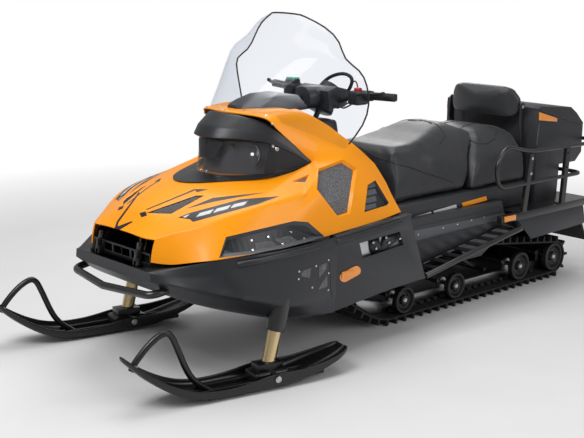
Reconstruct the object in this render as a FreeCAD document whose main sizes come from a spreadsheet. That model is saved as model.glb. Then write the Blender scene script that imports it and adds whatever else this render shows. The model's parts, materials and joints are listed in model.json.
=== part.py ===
"""A wide-track utility snowmobile: two skis, one rubber track, a tilting hood and a rear box.

Frame: +Z up, the nose points along -Y, +X is the rider's left. The origin lies on the
ground below the middle of the machine. All lengths are in millimetres.
"""
import FreeCAD, Part
import Sketcher
import math
import os

os.makedirs("parts", exist_ok=True)
doc = FreeCAD.newDocument("snowmobile")
sheet = doc.addObject("Spreadsheet::Sheet", "Sizes")

SIZES = [
    # Track and its wheels
    ("track_width", 600, "track, across"),
    ("belt_thick", 8, "rubber belt without lugs"),
    ("lug_height", 26, "lug above the belt"),
    ("lug_length", 16, "lug, along the belt"),
    ("lug_count", 66, "lugs round the loop"),
    ("lug_gap", 34, "gap between lug rows, across"),
    ("lug_gap_place", 118, "middle of each gap from the centre plane"),
    ("sprocket_y", -415, "drive axle, lengthwise"),
    ("sprocket_z", 330, "drive axle height"),
    ("sprocket_radius", 80, "drive sprocket"),
    ("idler_y", 1201, "rear idler axle, lengthwise"),
    ("idler_radius", 74, "rear idler wheel"),
    ("approach_y", -20, "where the belt meets the ground"),
    ("approach_radius", 330, "curve of the belt in front of it"),
    ("bogie_radius", 63, "front bogie wheel"),
    ("bogie_rear_radius", 72, "rear bogie wheel"),
    ("bogie_1_y", 54, "first bogie axle"),
    ("bogie_2_y", 415, "second bogie axle"),
    ("bogie_3_y", 917, "third bogie axle"),
    ("wheel_width", 30, "bogie and idler wheel width"),
    ("wheel_inset", 5, "wheel face inside the track edge"),
    ("axle_radius", 10, "bogie and idler axles"),
    ("drive_axle_radius", 17, "drive axle"),
    ("rail_place", 200, "slide rail from the centre plane"),
    ("rail_thick", 16, "slide rail, across"),
    ("rail_height", 42, "slide rail, upright"),
    ("rail_front_y", -175, "front end of the rails"),
    ("seat_gap", 0.3, "gap left where one piece is seated on another"),
    ("arm_radius", 14, "suspension arm tubes"),
    ("front_arm_y", -130, "front arm, upper pivot lengthwise"),
    ("front_arm_z", 285, "front arm, upper pivot height"),
    ("front_foot_y", 180, "front arm, lower end lengthwise"),
    ("rear_arm_y", 500, "rear arm, upper pivot lengthwise"),
    ("rear_arm_z", 240, "rear arm, upper pivot height"),
    ("rear_foot_y", 760, "rear arm, lower end lengthwise"),
    ("arm_foot_z", 96, "lower arm ends, height"),
    ("arm_place", 120, "arm from the centre plane"),
    # Tunnel, running boards and deck
    ("tunnel_clear", 14, "track edge to tunnel side"),
    ("tunnel_wall", 4, "tunnel sheet"),
    ("tunnel_front_y", -560, "front wall of the tunnel"),
    ("tunnel_top_z", 474, "tunnel top under the seat"),
    ("tunnel_rear_z", 384, "tunnel top under the deck"),
    ("rear_overhang", 129, "tunnel and deck behind the rear idler axle"),
    ("strip_low_z", 387, "flange strip on the tunnel, lower edge"),
    ("strip_high_z", 440, "flange strip, upper edge"),
    ("strip_thick", 8, "flange strip, across"),
    ("board_front_z", 248, "foot well floor height"),
    ("board_rear_z", 356, "running board height at its rear end"),
    ("board_rise_y", 0, "where the running board starts to rise"),
    ("board_rear_y", 700, "rear end of the running board"),
    ("board_thick", 6, "running board plate"),
    ("board_edge_x", 450, "outer edge of the running board"),
    ("board_tube_radius", 13, "outer tube of the running board"),
    ("deck_overhang", 82, "rear deck beyond the tunnel side"),
    ("deck_front_y", 738, "front end of the rear deck"),
    ("deck_top_z", 424, "top of the rear deck"),
    ("deck_channel", 36, "depth of the deck's side channels"),
    ("deck_plate", 5, "deck plate"),
    ("deck_rail_y", 600, "front end of the deck's side channels"),
    ("fender_low_z", 272, "lower edge of the rear fenders"),
    ("flap_low_z", 160, "lower edge of the snow flap"),
    ("flap_sweep", 125, "snow flap, lower edge behind its top"),
    ("flap_thick", 8, "snow flap"),
    ("hitch_reach", 215, "drawbar behind the deck"),
    ("hitch_half", 36, "half width of the drawbar"),
    ("hitch_thick", 12, "drawbar plate"),
    ("hitch_bore", 20, "drawbar pin hole"),
    # Seats, backrest, box and rack
    ("seat_base_half", 284, "half width of the seat base"),
    ("seat_base_z", 540, "top of the seat base"),
    ("seat_split", 4, "gap between the two seats"),
    ("driver_low_half", 262, "driver's seat half width at the base"),
    ("driver_top_half", 178, "driver's seat half width at the top"),
    ("rider_low_half", 284, "passenger seat half width at the base"),
    ("rider_top_half", 205, "passenger seat half width at the top"),
    ("seat_front_y", -6, "front foot of the driver's seat"),
    ("seat_nose_z", 771, "height of the seat's nose"),
    ("seat_dip_z", 770, "lowest sitting height"),
    ("seat_crest_z", 840, "driver's seat crest"),
    ("rider_top_z", 816, "passenger seat top"),
    ("seat_end_y", 955, "rear end of the passenger seat"),
    ("back_half", 220, "backrest half width"),
    ("back_front_y", 882, "backrest front face"),
    ("back_depth", 94, "backrest, front to rear"),
    ("back_low_z", 845, "backrest lower edge"),
    ("back_high_z", 1004, "backrest upper edge"),
    ("back_bar_thick", 6, "backrest side bars, across"),
    ("back_bar_wide", 26, "backrest side bars, seen from the side"),
    ("box_front_y", 1000, "storage box front"),
    ("box_rear_y", 1392, "storage box rear"),
    ("box_half", 292, "storage box half width"),
    ("box_wall", 6, "storage box and lid wall"),
    ("box_front_z", 886, "box rim at the front"),
    ("box_rear_z", 778, "box rim at the rear"),
    ("box_foot", 190, "storage box, lower part, front to rear"),
    ("box_step_z", 596, "underside of the box's overhang"),
    ("lid_seam", 0.4, "seam between box and lid"),
    ("lid_top_z", 904, "lid top at its front edge"),
    ("lid_barrel", 5, "lid hinge barrel radius"),
    ("lid_pin", 2.5, "lid hinge pin radius"),
    ("rack_radius", 10, "rack tubes"),
    ("rack_low_z", 562, "lower rail"),
    ("rack_high_z", 708, "upper rail"),
    ("rack_rear_y", 1424, "rear run of the upper rail"),
    ("rack_cross_y", 1245, "rear run of the lower rail"),
    ("post_wide", 32, "rack post, lengthwise"),
    ("post_thick", 6, "rack post, across"),
    ("post_1_low_y", 764, "front post, foot"),
    ("post_1_high_y", 806, "front post, head"),
    ("post_2_low_y", 1084, "rear post, foot"),
    ("post_2_high_y", 1106, "rear post, head"),
    # Front end
    ("skin", 5, "wall of the hood and the belly pan"),
    ("pan_nose_solid", 52, "solid ledge behind the pan's front"),
    ("pan_rear_y", -570, "rear end of the belly pan"),
    ("panel_half", 450, "side panel from the centre plane"),
    ("panel_thick", 6, "side panel wall"),
    ("hinge_y", -1300, "hood hinge, lengthwise"),
    ("hinge_z", 490, "hood hinge height"),
    ("hinge_x", 130, "hood hinge from the centre plane"),
    ("hinge_pin", 4, "hood hinge pin radius"),
    ("hinge_arm", 12, "hood hinge arm, across"),
    ("hinge_cheek", 6, "hood hinge cheek, across"),
    ("hinge_side_gap", 1, "hood hinge arm to cheek"),
    ("bumper_radius", 15, "front bumper tube"),
    ("engine_half", 225, "engine block half width"),
    ("engine_front_y", -812, "engine block front"),
    ("engine_rear_y", -585, "engine block rear"),
    ("engine_low_z", 242, "engine block underside"),
    ("engine_top_z", 620, "engine block top"),
    # Steering and skis
    ("stance", 950, "ski to ski, at the struts"),
    ("strut_y", -945, "strut axis at the ski bolt, lengthwise"),
    ("strut_z", 57, "ski bolt height"),
    ("strut_rake", 15, "strut leans back, degrees"),
    ("steer", 11.4, "skis turned to the right as shown, degrees"),
    ("fork_radius", 27, "gold fork tube"),
    ("sleeve_radius", 38, "fork sleeve outside"),
    ("sleeve_gap", 0.3, "fork tube to sleeve"),
    ("sleeve_start", 155, "sleeve's lower end, along the strut"),
    ("sleeve_end", 385, "sleeve's upper end, along the strut"),
    ("cross_radius", 20, "tube that ties the two sleeves"),
    ("cross_start", 350, "that tube's place along the strut"),
    ("ski_half", 86, "ski half width"),
    ("ski_front", 607, "ski tip ahead of the bolt"),
    ("ski_rear", 350, "ski tail behind the bolt"),
    ("ski_tip_z", 214, "ski tip height"),
    ("ski_wall", 12, "ski side walls and floor"),
    ("ski_rim_z", 58, "ski rim height"),
    ("ski_bolt", 8, "ski bolt radius"),
    ("keel_half", 5, "wear bar half width"),
    ("keel_depth", 6, "wear bar below the ski"),
    ("loop_radius", 9, "ski handle tube"),
    ("foot_half", 34, "fork foot half width"),
    ("post_rake", 30, "steering post leans back, degrees"),
    ("bar_y", -200, "middle of the handlebar, lengthwise"),
    ("bar_z", 1010, "middle of the handlebar, height"),
    ("bar_radius", 11, "handlebar tube"),
    ("bar_end_x", 380, "handlebar half width"),
    ("bar_end_y", -150, "handlebar end, lengthwise"),
    ("bar_end_z", 1042, "handlebar end, height"),
    ("grip_radius", 17, "hand grip"),
    ("grip_length", 118, "hand grip"),
    ("post_radius", 12, "steering post"),
    ("post_length", 410, "steering post"),
    ("post_clear", 6, "steering post to console"),
    ("console_half", 100, "console half width"),
    ("pod_radius", 50, "gauge pod"),
    ("glass_thick", 5, "windshield"),
]

for row, (alias, number, note) in enumerate(SIZES, 1):
    sheet.set(f"A{row}", alias.replace("_", " "))
    sheet.set(f"B{row}", str(number))
    sheet.set(f"C{row}", note)
    sheet.setAlias(f"B{row}", alias)


class Size:
    """A number, held with the expression that gives it."""

    def __init__(self, value, text):
        self.value = float(value)
        self.text = text

    def joined(self, sign, other, value):
        return Size(value, f"({self.text} {sign} {other.text})")

    def __add__(self, other):
        other = size(other)
        return self.joined("+", other, self.value + other.value)

    def __sub__(self, other):
        other = size(other)
        return self.joined("-", other, self.value - other.value)

    def __mul__(self, other):
        other = size(other)
        return self.joined("*", other, self.value * other.value)

    def __truediv__(self, other):
        other = size(other)
        return self.joined("/", other, self.value / other.value)

    def __radd__(self, other):
        return size(other) + self

    def __rsub__(self, other):
        return size(other) - self

    def __rmul__(self, other):
        return size(other) * self

    def __neg__(self):
        return size(0) - self

    def __float__(self):
        return self.value


def size(thing):
    return thing if isinstance(thing, Size) else Size(thing, f"({thing})")


class Cells:
    """The sheet's values by name, such as S.track_width."""

    def __getattr__(self, alias):
        return Size(self.numbers[alias], f"Sizes.{alias}")

    numbers = {alias: number for alias, number, note in SIZES}


S = Cells()
NODES = {}


def sine(angle):
    return Size(math.sin(math.radians(float(angle))), f"sin({angle.text} * 1 deg)")


def cosine(angle):
    return Size(math.cos(math.radians(float(angle))), f"cos({angle.text} * 1 deg)")


def node(label, thing):
    """Names the object that is written to parts/LABEL.step."""
    thing.Label = label
    NODES[label] = thing
    return thing


def bind(thing, name, length):
    thing.setExpression(name, size(length).text)


def place(thing, corner):
    for axis, length in zip("xyz", corner):
        bind(thing, f"Placement.Base.{axis}", length)


def box(name, corner, lengths):
    thing = doc.addObject("Part::Box", name)
    for side, length in zip(("Length", "Width", "Height"), lengths):
        bind(thing, side, length)
    place(thing, corner)
    return thing


AXES = {
    "X": FreeCAD.Rotation(FreeCAD.Vector(0, 1, 0), 90),
    "Y": FreeCAD.Rotation(FreeCAD.Vector(1, 0, 0), -90),
    "Z": FreeCAD.Rotation(),
}


def cylinder(name, start, radius, length, axis):
    """A round bar from its start point along +X, +Y or +Z."""
    thing = doc.addObject("Part::Cylinder", name)
    bind(thing, "Radius", radius)
    bind(thing, "Height", length)
    thing.Placement = FreeCAD.Placement(FreeCAD.Vector(), AXES[axis])
    place(thing, start)
    return thing


def leaning_cylinder(name, foot, rake, start, radius, length):
    """A round bar on an axis that leans back from upright by rake, start along it from foot."""
    thing = doc.addObject("Part::Cylinder", name)
    bind(thing, "Radius", radius)
    bind(thing, "Height", length)
    thing.Placement = FreeCAD.Placement(FreeCAD.Vector(), FreeCAD.Rotation(FreeCAD.Vector(1, 0, 0), 0))
    bind(thing, "Placement.Rotation.Angle", -rake)
    place(thing, (foot[0], foot[1] + sine(rake) * start, foot[2] + cosine(rake) * start))
    return thing


NORMAL_SIGN = {"YZ_Plane": 1, "XZ_Plane": -1, "XY_Plane": 1}


def outline(body, plane, rings, offset):
    """A closed sketch of one or more rings of points, each coordinate bound to its size."""
    sketch = body.newObject("Sketcher::SketchObject", "Outline")
    support = next(part for part in body.Origin.OriginFeatures if part.Role == plane)
    sketch.AttachmentSupport = [(support, "")]
    sketch.MapMode = "FlatFace"
    bind(sketch, "AttachmentOffset.Base.z", offset)
    first = 0
    for ring in rings:
        ring = [(size(a), size(b)) for a, b in ring]
        vectors = [FreeCAD.Vector(float(a), float(b), 0) for a, b in ring]
        count = len(ring)
        lines = [Part.LineSegment(vectors[i], vectors[(i + 1) % count]) for i in range(count)]
        sketch.addGeometry(lines, False)
        for i in range(count):
            following = first + (i + 1) % count
            sketch.addConstraint(Sketcher.Constraint("Coincident", first + i, 2, following, 1))
        for i, (a, b) in enumerate(ring):
            for kind, length in (("DistanceX", a), ("DistanceY", b)):
                rule = Sketcher.Constraint(kind, -1, 1, first + i, 1, float(length))
                index = sketch.addConstraint(rule)
                bind(sketch, f"Constraints[{index}]", length)
        first += count
    return sketch


def pad(name, plane, points, low, high):
    """A body with a flat outline, from low to high along the plane's own axis."""
    body = doc.addObject("PartDesign::Body", name)
    offset = size(low) if NORMAL_SIGN[plane] > 0 else -size(high)
    feature = body.newObject("PartDesign::Pad", "Pad")
    feature.Profile = outline(body, plane, [points], offset)
    bind(feature, "Length", size(high) - low)
    return body


def pocket(body, plane, rings, low, high):
    """Cuts the outlines out of the body, from low to high along the plane's own axis."""
    offset = size(high) if NORMAL_SIGN[plane] > 0 else -size(low)
    sketch = outline(body, plane, rings, offset)
    feature = body.newObject("PartDesign::Pocket", "Pocket")
    feature.Profile = sketch
    bind(feature, "Length", size(high) - low)
    body.Tip = feature
    return body


def fuse(name, things):
    thing = doc.addObject("Part::MultiFuse", name)
    thing.Shapes = things
    return thing


def group(name, things):
    thing = doc.addObject("Part::Compound", name)
    thing.Links = things
    return thing


def cut(name, base, tool):
    thing = doc.addObject("Part::Cut", name)
    thing.Base = base
    thing.Tool = tool
    return thing


def common(name, things):
    thing = doc.addObject("Part::MultiCommon", name)
    thing.Shapes = things
    return thing


def mirrored(name, source):
    thing = doc.addObject("Part::Mirroring", name)
    thing.Source = source
    thing.Normal = (1, 0, 0)
    return thing


def feature(name, shape):
    thing = doc.addObject("Part::Feature", name)
    thing.Shape = shape
    return thing


def vector(x, y, z):
    return FreeCAD.Vector(float(x), float(y), float(z))


def tube_shape(points, radius, bend):
    """A round bar along straight runs joined by tangent arcs of one bend radius."""
    points = [vector(*point) for point in points]
    edges = []
    start = points[0]
    for before, corner, after in zip(points, points[1:], points[2:]):
        toward = (before - corner).normalize()
        onward = (after - corner).normalize()
        half = toward.getAngle(onward) / 2
        reach = float(bend) / math.tan(half)
        centre_way = (toward + onward).normalize()
        middle = corner + centre_way * (float(bend) / math.sin(half) - float(bend))
        entry = corner + toward * reach
        leave = corner + onward * reach
        edges.append(Part.LineSegment(start, entry).toShape())
        edges.append(Part.Arc(entry, middle, leave).toShape())
        start = leave
    edges.append(Part.LineSegment(start, points[-1]).toShape())
    path = Part.Wire(edges)
    ring = Part.Wire(Part.makeCircle(float(radius), points[0], points[1] - points[0]))
    return path.makePipeShell([ring], True, True)


def polygon(points):
    return Part.makePolygon([vector(*point) for point in points] + [vector(*points[0])])


# Hood: rows of points from the nose back, each from the ridge down to the lower edge.
HOOD = [
    [(0, -1300, 585), (60, -1299, 585), (110, -1298, 583), (145, -1296, 581), (170, -1291, 579),
     (188, -1282, 577),
     (204, -1270, 575), (202, -1284, 548), (198, -1296, 520)],
    [(0, -1230, 655), (60, -1229, 650), (110, -1224, 641), (150, -1217, 631), (190, -1209, 620),
     (222, -1202, 611),
     (250, -1196, 602), (256, -1220, 553), (262, -1240, 484)],
    [(0, -1130, 695), (80, -1129, 687), (140, -1127, 675), (190, -1127, 661), (232, -1128, 647),
     (268, -1129, 633),
     (300, -1130, 620), (316, -1160, 560), (330, -1188, 498)],
    [(0, -1012, 732), (100, -1011, 724), (170, -1010, 712), (225, -1013, 697), (270, -1017, 684),
     (312, -1021, 670),
     (350, -1024, 656), (378, -1075, 585), (400, -1124, 511)],
    [(0, -880, 752), (110, -876, 747), (185, -866, 737), (240, -863, 725), (288, -865, 713),
     (335, -867, 698),
     (380, -870, 683), (410, -940, 600), (432, -1010, 516)],
    [(0, -792, 760), (110, -766, 756), (195, -728, 748), (228, -690, 748), (262, -612, 768),
     (290, -549, 797),
     (400, -682, 700), (430, -770, 610), (448, -866, 518)],
    [(0, -785, 1002), (100, -752, 998), (200, -715, 988), (222, -684, 950), (255, -605, 872),
     (283, -538, 801),
     (350, -564, 775), (415, -600, 705), (452, -700, 524)],
    [(0, -640, 1012), (100, -620, 1012), (200, -620, 1000), (240, -540, 935), (285, -480, 875),
     (325, -480, 812),
     (356, -470, 790), (424, -470, 692), (451, -560, 534)],
    [(0, -400, 1005), (100, -400, 1000), (205, -420, 975), (250, -402, 928), (300, -363, 884),
     (325, -330, 845),
     (345, -330, 800), (425, -300, 650), (448, -300, 549)],
    [(0, -120, 900), (100, -120, 890), (200, -120, 860), (255, -120, 830), (300, -120, 800),
     (322, -120, 780),
     (335, -120, 740), (345, -120, 680), (420, -120, 561)],
]

# Belly pan: rows from its nose back, each from the inner edge of the ledge under the hood,
# round the outside, to the keel.
PAN = [
    [(150, -1330, 466), (236, -1330, 466), (250, -1330, 464), (256, -1330, 430), (215, -1330, 424),
     (0, -1330, 422)],
    [(252, -1220, 466), (322, -1220, 486), (345, -1220, 445), (385, -1220, 408), (290, -1220, 350),
     (0, -1220, 345)],
    [(350, -1112, 492), (398, -1112, 508), (410, -1112, 458), (450, -1100, 372), (350, -1100, 303),
     (0, -1100, 296)],
    [(396, -1025, 500), (482, -1025, 526), (484, -1025, 480), (496, -960, 338), (412, -960, 262),
     (0, -960, 250)],
    [(424, -820, 503), (498, -820, 526), (504, -820, 474), (512, -820, 298), (448, -820, 230),
     (0, -820, 222)],
    [(426, -570, 512), (470, -570, 526), (474, -570, 468), (470, -570, 300), (450, -570, 202),
     (0, -570, 214)],
]

# Lamp housing: side outlines (y, z) at distances from the centre plane.
LAMP = [
    (0, [(-1015, 726), (-880, 758), (-858, 890), (-885, 905), (-862, 948), (-787, 998)]),
    (130, [(-862, 716), (-800, 752), (-790, 892), (-822, 905), (-800, 938), (-746, 986)]),
    (220, [(-735, 722), (-695, 765), (-690, 882), (-715, 894), (-706, 916), (-680, 946)]),
    (252, [(-640, 752), (-618, 768), (-615, 838), (-628, 848), (-622, 860), (-600, 872)]),
    (284, [(-556, 790), (-548, 795), (-546, 797), (-550, 799), (-547, 801), (-530, 803)]),
]

# Dash cover: half outlines (x, z) from front to rear.
DASH = [
    (-723, [(30, 1013), (20, 1020)]),
    (-650, [(110, 1010), (60, 1034)]),
    (-560, [(172, 1008), (80, 1050)]),
    (-441, [(150, 1006), (95, 1050)]),
]

# Windshield: rows from the base up, as centre (y, z) and near end (x, y, z).
GLASS = [
    ((-768, 1028), (330, -388, 850)),
    ((-700, 1100), (386, -336, 945)),
    ((-640, 1169), (412, -336, 1034)),
    ((-585, 1231), (412, -352, 1110)),
    ((-540, 1282), (396, -375, 1174)),
    ((-515, 1311), (298, -381, 1206)),
    ((-480, 1351), (270, -365, 1278)),
    ((-456, 1378), (205, -390, 1340)),
    ((-444, 1392), (95, -424, 1383)),
]


def across(half):
    """A row of points right across the machine, from the half that is given."""
    other = [(-x, y, z) for x, y, z in reversed(half) if x]
    return half + other if half[-1][0] == 0 else other + half


def faceted(rows):
    """A solid through closed rows of as many points each, faced alike on both sides with triangles."""
    faces = []
    for row, following in zip(rows, rows[1:]):
        for index in range(len(row)):
            onward = (index + 1) % len(row)
            a, b, c, d = (vector(*point) for point in (row[index], row[onward], following[onward],
                following[index]))
            if index < len(row) // 2:
                faces += [(a, b, c), (a, c, d)]
            else:
                faces += [(a, b, d), (b, c, d)]
    for row in (rows[0], rows[-1]):
        corners = [vector(*point) for point in row]
        middle = sum(corners, FreeCAD.Vector()) * (1 / len(corners))
        faces += [(corner, corners[index - 1], middle) for index, corner in enumerate(corners)]
    shell = Part.makeShell([Part.Face(polygon(face)) for face in faces])
    shell.sewShape()
    solid = Part.Solid(shell.Shells[0])
    if solid.Volume < 0:
        solid.reverse()
    return solid


def shrunk(rows, wall):
    """The rows moved inward by the wall, each point along the mean of the faces that meet there."""
    facing = {}
    for number, (row, following) in enumerate(zip(rows, rows[1:])):
        for index in range(len(row) - 1):
            diagonal = vector(*following[index + 1]) - vector(*row[index])
            other = vector(*following[index]) - vector(*row[index + 1])
            normal = diagonal.cross(other).normalize()
            for key in ((number, index), (number, index + 1), (number + 1, index),
                    (number + 1, index + 1)):
                facing.setdefault(key, []).append(normal)
    moved = []
    for number, row in enumerate(rows):
        for index in range(len(row)):
            normals = facing[number, index] + ([FreeCAD.Vector(0, -1, 0)] if number == 0 else [])
            mean = sum(normals, FreeCAD.Vector()).normalize()
            lean_in = sum(mean.dot(normal) for normal in normals) / len(normals)
            row = row[:index] + [tuple(vector(*row[index]) - mean * (wall / lean_in))] + row[index + 1:]
        moved.append(row)
    return moved


def between(start, finish, share):
    """The point that lies at a share of the way from start to finish."""
    return tuple(a + (b - a) * share for a, b in zip(start, finish))


def hood_hollow_solid(wall, reach=60):
    """The room inside the hood, run on past its lower edge by the reach and past its rear."""
    rows = []
    for row in shrunk([across(half) for half in HOOD], wall):
        first_share = 1 + reach / (row[1][2] - row[0][2])
        last_share = 1 + reach / (row[-2][2] - row[-1][2])
        rows.append([between(row[1], row[0], first_share)] + row[1:-1] + [between(row[-2], row[-1],
            last_share)])
    rows[-1] = [(x, y + wall, z) for x, y, z in rows[-1]]
    return faceted(rows)


def pan_hollow_solid(wall, reach=40, lip=1):
    """The room inside the belly pan, open between its ledges and at its rear."""
    rows = []
    outer = [across(half) for half in PAN]
    for row, skin in zip(outer, shrunk(outer, wall)):
        start, finish = ((x - math.copysign(lip, x), y, z - wall) for x, y, z in (row[0], row[-1]))
        over = [(x, y, z + reach) for x, y, z in (start, finish)]
        rows.append([over[0], start] + skin[1:-1] + [finish, over[1]])
    solid_share = float(S.pan_nose_solid) / (PAN[1][0][1] - PAN[0][0][1])
    rows[0] = [between(a, b, solid_share) for a, b in zip(rows[0], rows[1])]
    rows[-1] = [(x, float(S.pan_rear_y) + wall, z) for x, y, z in rows[-1]]
    return faceted(rows)


hood_outer = faceted([across(half) for half in HOOD])
hood_hollow = hood_hollow_solid(float(S.skin))
pan_outer = faceted([across(half) for half in PAN])
pan_hollow = pan_hollow_solid(float(S.skin))


def side_prism(points, low, high):
    """A (y, z) outline carried from low to high along X, on both sides of the machine."""
    face = Part.Face(polygon([(low, y, z) for y, z in points]))
    left = face.extrude(vector(high - low, 0, 0))
    right = left.mirror(FreeCAD.Vector(), FreeCAD.Vector(1, 0, 0))
    return left.fuse(right)


REAR_EDGE = [(-527, 1100), (-527, 1012), (-402, 930), (-363, 886), (-228, 768), (-177, 680), (-136, 540),
             (-136, 480), (0, 480), (0, 1100)]
SIDE_GRILLE = [(-1098, 480), (-1030, 577), (-712, 597), (-622, 480)]
MESH_VENT = [(-553, 778), (-416, 803), (-372, 763), (-461, 592), (-517, 592), (-604, 714)]
LOUVRE_VENT = [(-292, 690), (-232, 700), (-203, 607), (-222, 598), (-374, 592)]

rear_cut = Part.Face(polygon([(-600, y, z) for y, z in REAR_EDGE])).extrude(vector(1200, 0, 0))
hood_wall = hood_outer.cut(hood_hollow).cut(rear_cut)
openings = [side_prism(points, 290, 520) for points in (SIDE_GRILLE, MESH_VENT, LOUVRE_VENT)]
hood_skin = hood_wall.cut(openings)
grilles = [hood_wall.common(opening) for opening in openings]
node("hood_grilles", feature("HoodGrilles", Part.makeCompound([s for g in grilles for s in g.Solids])))


def lamp_solid(stations, choose):
    sides = [(-x, ring) for x, ring in reversed(stations) if x] + stations
    return faceted([[(x, y, z) for y, z in choose(ring)] for x, ring in sides])


def lamp_ring(ring, back=60):
    """The outline closed behind and below, inside the hood."""
    return ring + [(ring[-1][0] + back, ring[-1][1]), (ring[-1][0] + back, ring[0][1] - back)]


def lens_ring(ring):
    """A thin slab that stands on the housing's front face."""
    (low_y, low_z), (high_y, high_z) = ring[1:3]
    return [(low_y - 7, low_z + 2), (high_y - 7, high_z - 2), (high_y - 1, high_z - 2),
        (low_y - 1, low_z + 2)]


lamp_body = lamp_solid(LAMP, lamp_ring)
node("lamp_housing", feature("LampHousing", lamp_body.cut(hood_outer)))
lens = lamp_solid(LAMP[:3], lens_ring)
node("lamp_lens", feature("LampLens", lens.cut(lamp_body).cut(hood_outer)))

dash_rows = []
for y, ((low_x, low_z), (high_x, high_z)) in DASH:
    half = [(high_x, y, high_z), (low_x, y, low_z), (low_x, y, 995)]
    dash_rows.append([(-x, y, z) for x, y, z in reversed(half)] + half)
dash = faceted(dash_rows)
node("dash_cover", feature("DashCover", dash.cut(hood_outer)))


def glass_row(row, shift):
    """One bowed row of the windshield, moved back in its own plane by shift."""
    (cy, cz), (ex, ey, ez) = row
    back = vector(0, ey - cy, ez - cz).normalize() * shift
    ends = [vector(-ex, ey, ez) + back, vector(ex, ey, ez) + back]
    pole = vector(0, 2 * cy - ey, 2 * cz - ez) + back
    curve = Part.BezierCurve()
    curve.setPoles([ends[0], pole, ends[1]])
    return curve.toShape(), ends


def glass_section(row):
    front, front_ends = glass_row(row, 0)
    back, back_ends = glass_row(row, float(S.glass_thick))
    sides = [Part.LineSegment(a, b).toShape() for a, b in zip(front_ends, back_ends)]
    return Part.Wire(Part.__sortEdges__([front, sides[1], back, sides[0]]))


glass = Part.makeLoft([glass_section(row) for row in GLASS], True, True)
node("windshield", feature("Windshield", glass.cut(hood_outer).cut(dash)))

# Hood hinge: arms on the hood turn on pins between cheeks on the pan's ledge.
arms = []
cheeks = []
for side in (1, -1):
    middle = S.hinge_x * side
    half = S.hinge_arm / 2
    eye = cylinder("HingeEye", (middle - half, S.hinge_y, S.hinge_z), S.hinge_pin + 8, S.hinge_arm, "X")
    arm = pad("HingeArm", "YZ_Plane", [
        (S.hinge_y - 10, S.hinge_z), (S.hinge_y + 10, S.hinge_z),
        (S.hinge_y + 12, 530), (S.hinge_y + 5, 560), (S.hinge_y + 5, 530), (S.hinge_y - 10, 521.5)],
        middle - half, middle + half)
    hole = cylinder("HingeHole", (middle - half, S.hinge_y, S.hinge_z), S.hinge_pin + S.seat_gap,
                    S.hinge_arm, "X")
    arms.append(cut("HingeArmBored", fuse("HingeArmWhole", [eye, arm]), hole))
    inner = half + S.hinge_side_gap
    for edge in (middle - inner - S.hinge_cheek, middle + inner):
        cheeks.append(pad("HingeCheek", "YZ_Plane", [
            (S.hinge_y - 16, 455), (S.hinge_y + 16, 455),
            (S.hinge_y + 8, S.hinge_z + 8), (S.hinge_y - 8, S.hinge_z + 8)],
            edge, edge + S.hinge_cheek))
    cheeks.append(cylinder("HingePin", (middle - inner - S.hinge_cheek, S.hinge_y, S.hinge_z),
        S.hinge_pin,
                           (inner + S.hinge_cheek) * 2, "X"))
hood_feature = feature("HoodWall", hood_wall)
pan_feature = feature("PanBody", pan_outer)
hinge_arms = cut("HoodHingeArms", fuse("HingeArmPair", arms), hood_feature)
hinge_cheeks = cut("HingeBrackets", fuse("HingeCheekPairs", cheeks), pan_feature)
node("hood_shell", fuse("HoodShell", [feature("HoodSkin", hood_skin), hinge_arms]))

# Belly pan with holes for the fork sleeves
lean = math.radians(float(S.strut_rake))
strut_way = vector(0, math.sin(lean), math.cos(lean))
pan_skin = pan_outer.cut(pan_hollow)
for side in (1, -1):
    foot = vector(side * float(S.stance) / 2, S.strut_y, S.strut_z)
    bar = Part.makeCylinder(float(S.sleeve_radius + S.seat_gap), 420, foot, strut_way)
    pan_skin = pan_skin.cut(bar)
node("belly_pan", fuse("BellyPan", [feature("PanSkin", pan_skin), hinge_cheeks]))

bumper = tube_shape([(-270, -1235, 394), (-264, -1335, 380), (0, -1372, 372), (264, -1335, 380),
    (270, -1235, 394)],
                    S.bumper_radius, 45)
node("front_bumper", feature("FrontBumper", bumper.cut(pan_outer)))

grille_plate = pad("FrontGrillePlate", "XZ_Plane", [(-190, 462), (190, 462), (190, 518),
    (-190, 518)], -1284, -1278)
pocket(grille_plate, "XZ_Plane", [
    [(x, 480), (x + 54, 480), (x + 54, 510), (x, 510)] for x in (-185, -120, -55, 1, 66, 131)], -1285,
     -1277)
node("front_grille", cut("FrontGrille", grille_plate, pan_feature))

# Fork sleeves and the tube between them
frame_parts = []
for side in (1, -1):
    foot = (S.stance / 2 * side, S.strut_y, S.strut_z)
    length = S.sleeve_end - S.sleeve_start
    solid = leaning_cylinder("Sleeve", foot, S.strut_rake, S.sleeve_start, S.sleeve_radius, length)
    bore = leaning_cylinder("SleeveBore", foot, S.strut_rake, S.sleeve_start,
        S.fork_radius + S.sleeve_gap, length - 12)
    frame_parts.append(cut("SleeveBored", solid, bore))
cross_y = S.strut_y + sine(S.strut_rake) * S.cross_start
cross_z = S.strut_z + cosine(S.strut_rake) * S.cross_start
cross_half = S.stance / 2 - S.sleeve_radius + 4
frame_parts.append(cylinder("CrossTube", (-cross_half, cross_y, cross_z), S.cross_radius, cross_half * 2,
    "X"))
node("front_frame", fuse("FrontFrame", frame_parts))

block = Part.makeBox(float(S.engine_half) * 2, float(S.engine_rear_y - S.engine_front_y),
                     float(S.engine_top_z - S.engine_low_z), vector(-S.engine_half, S.engine_front_y,
                     S.engine_low_z))
bearers = []
for edge in (-190, 140):
    bearer = Part.makeBox(50, float(S.engine_rear_y - S.engine_front_y) - 20, 80,
                          vector(edge, S.engine_front_y + 10, S.engine_low_z - 79))
    bearers.append(bearer.common(pan_hollow))
node("engine_block", feature("EngineBlock", block.fuse(bearers)))

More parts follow.
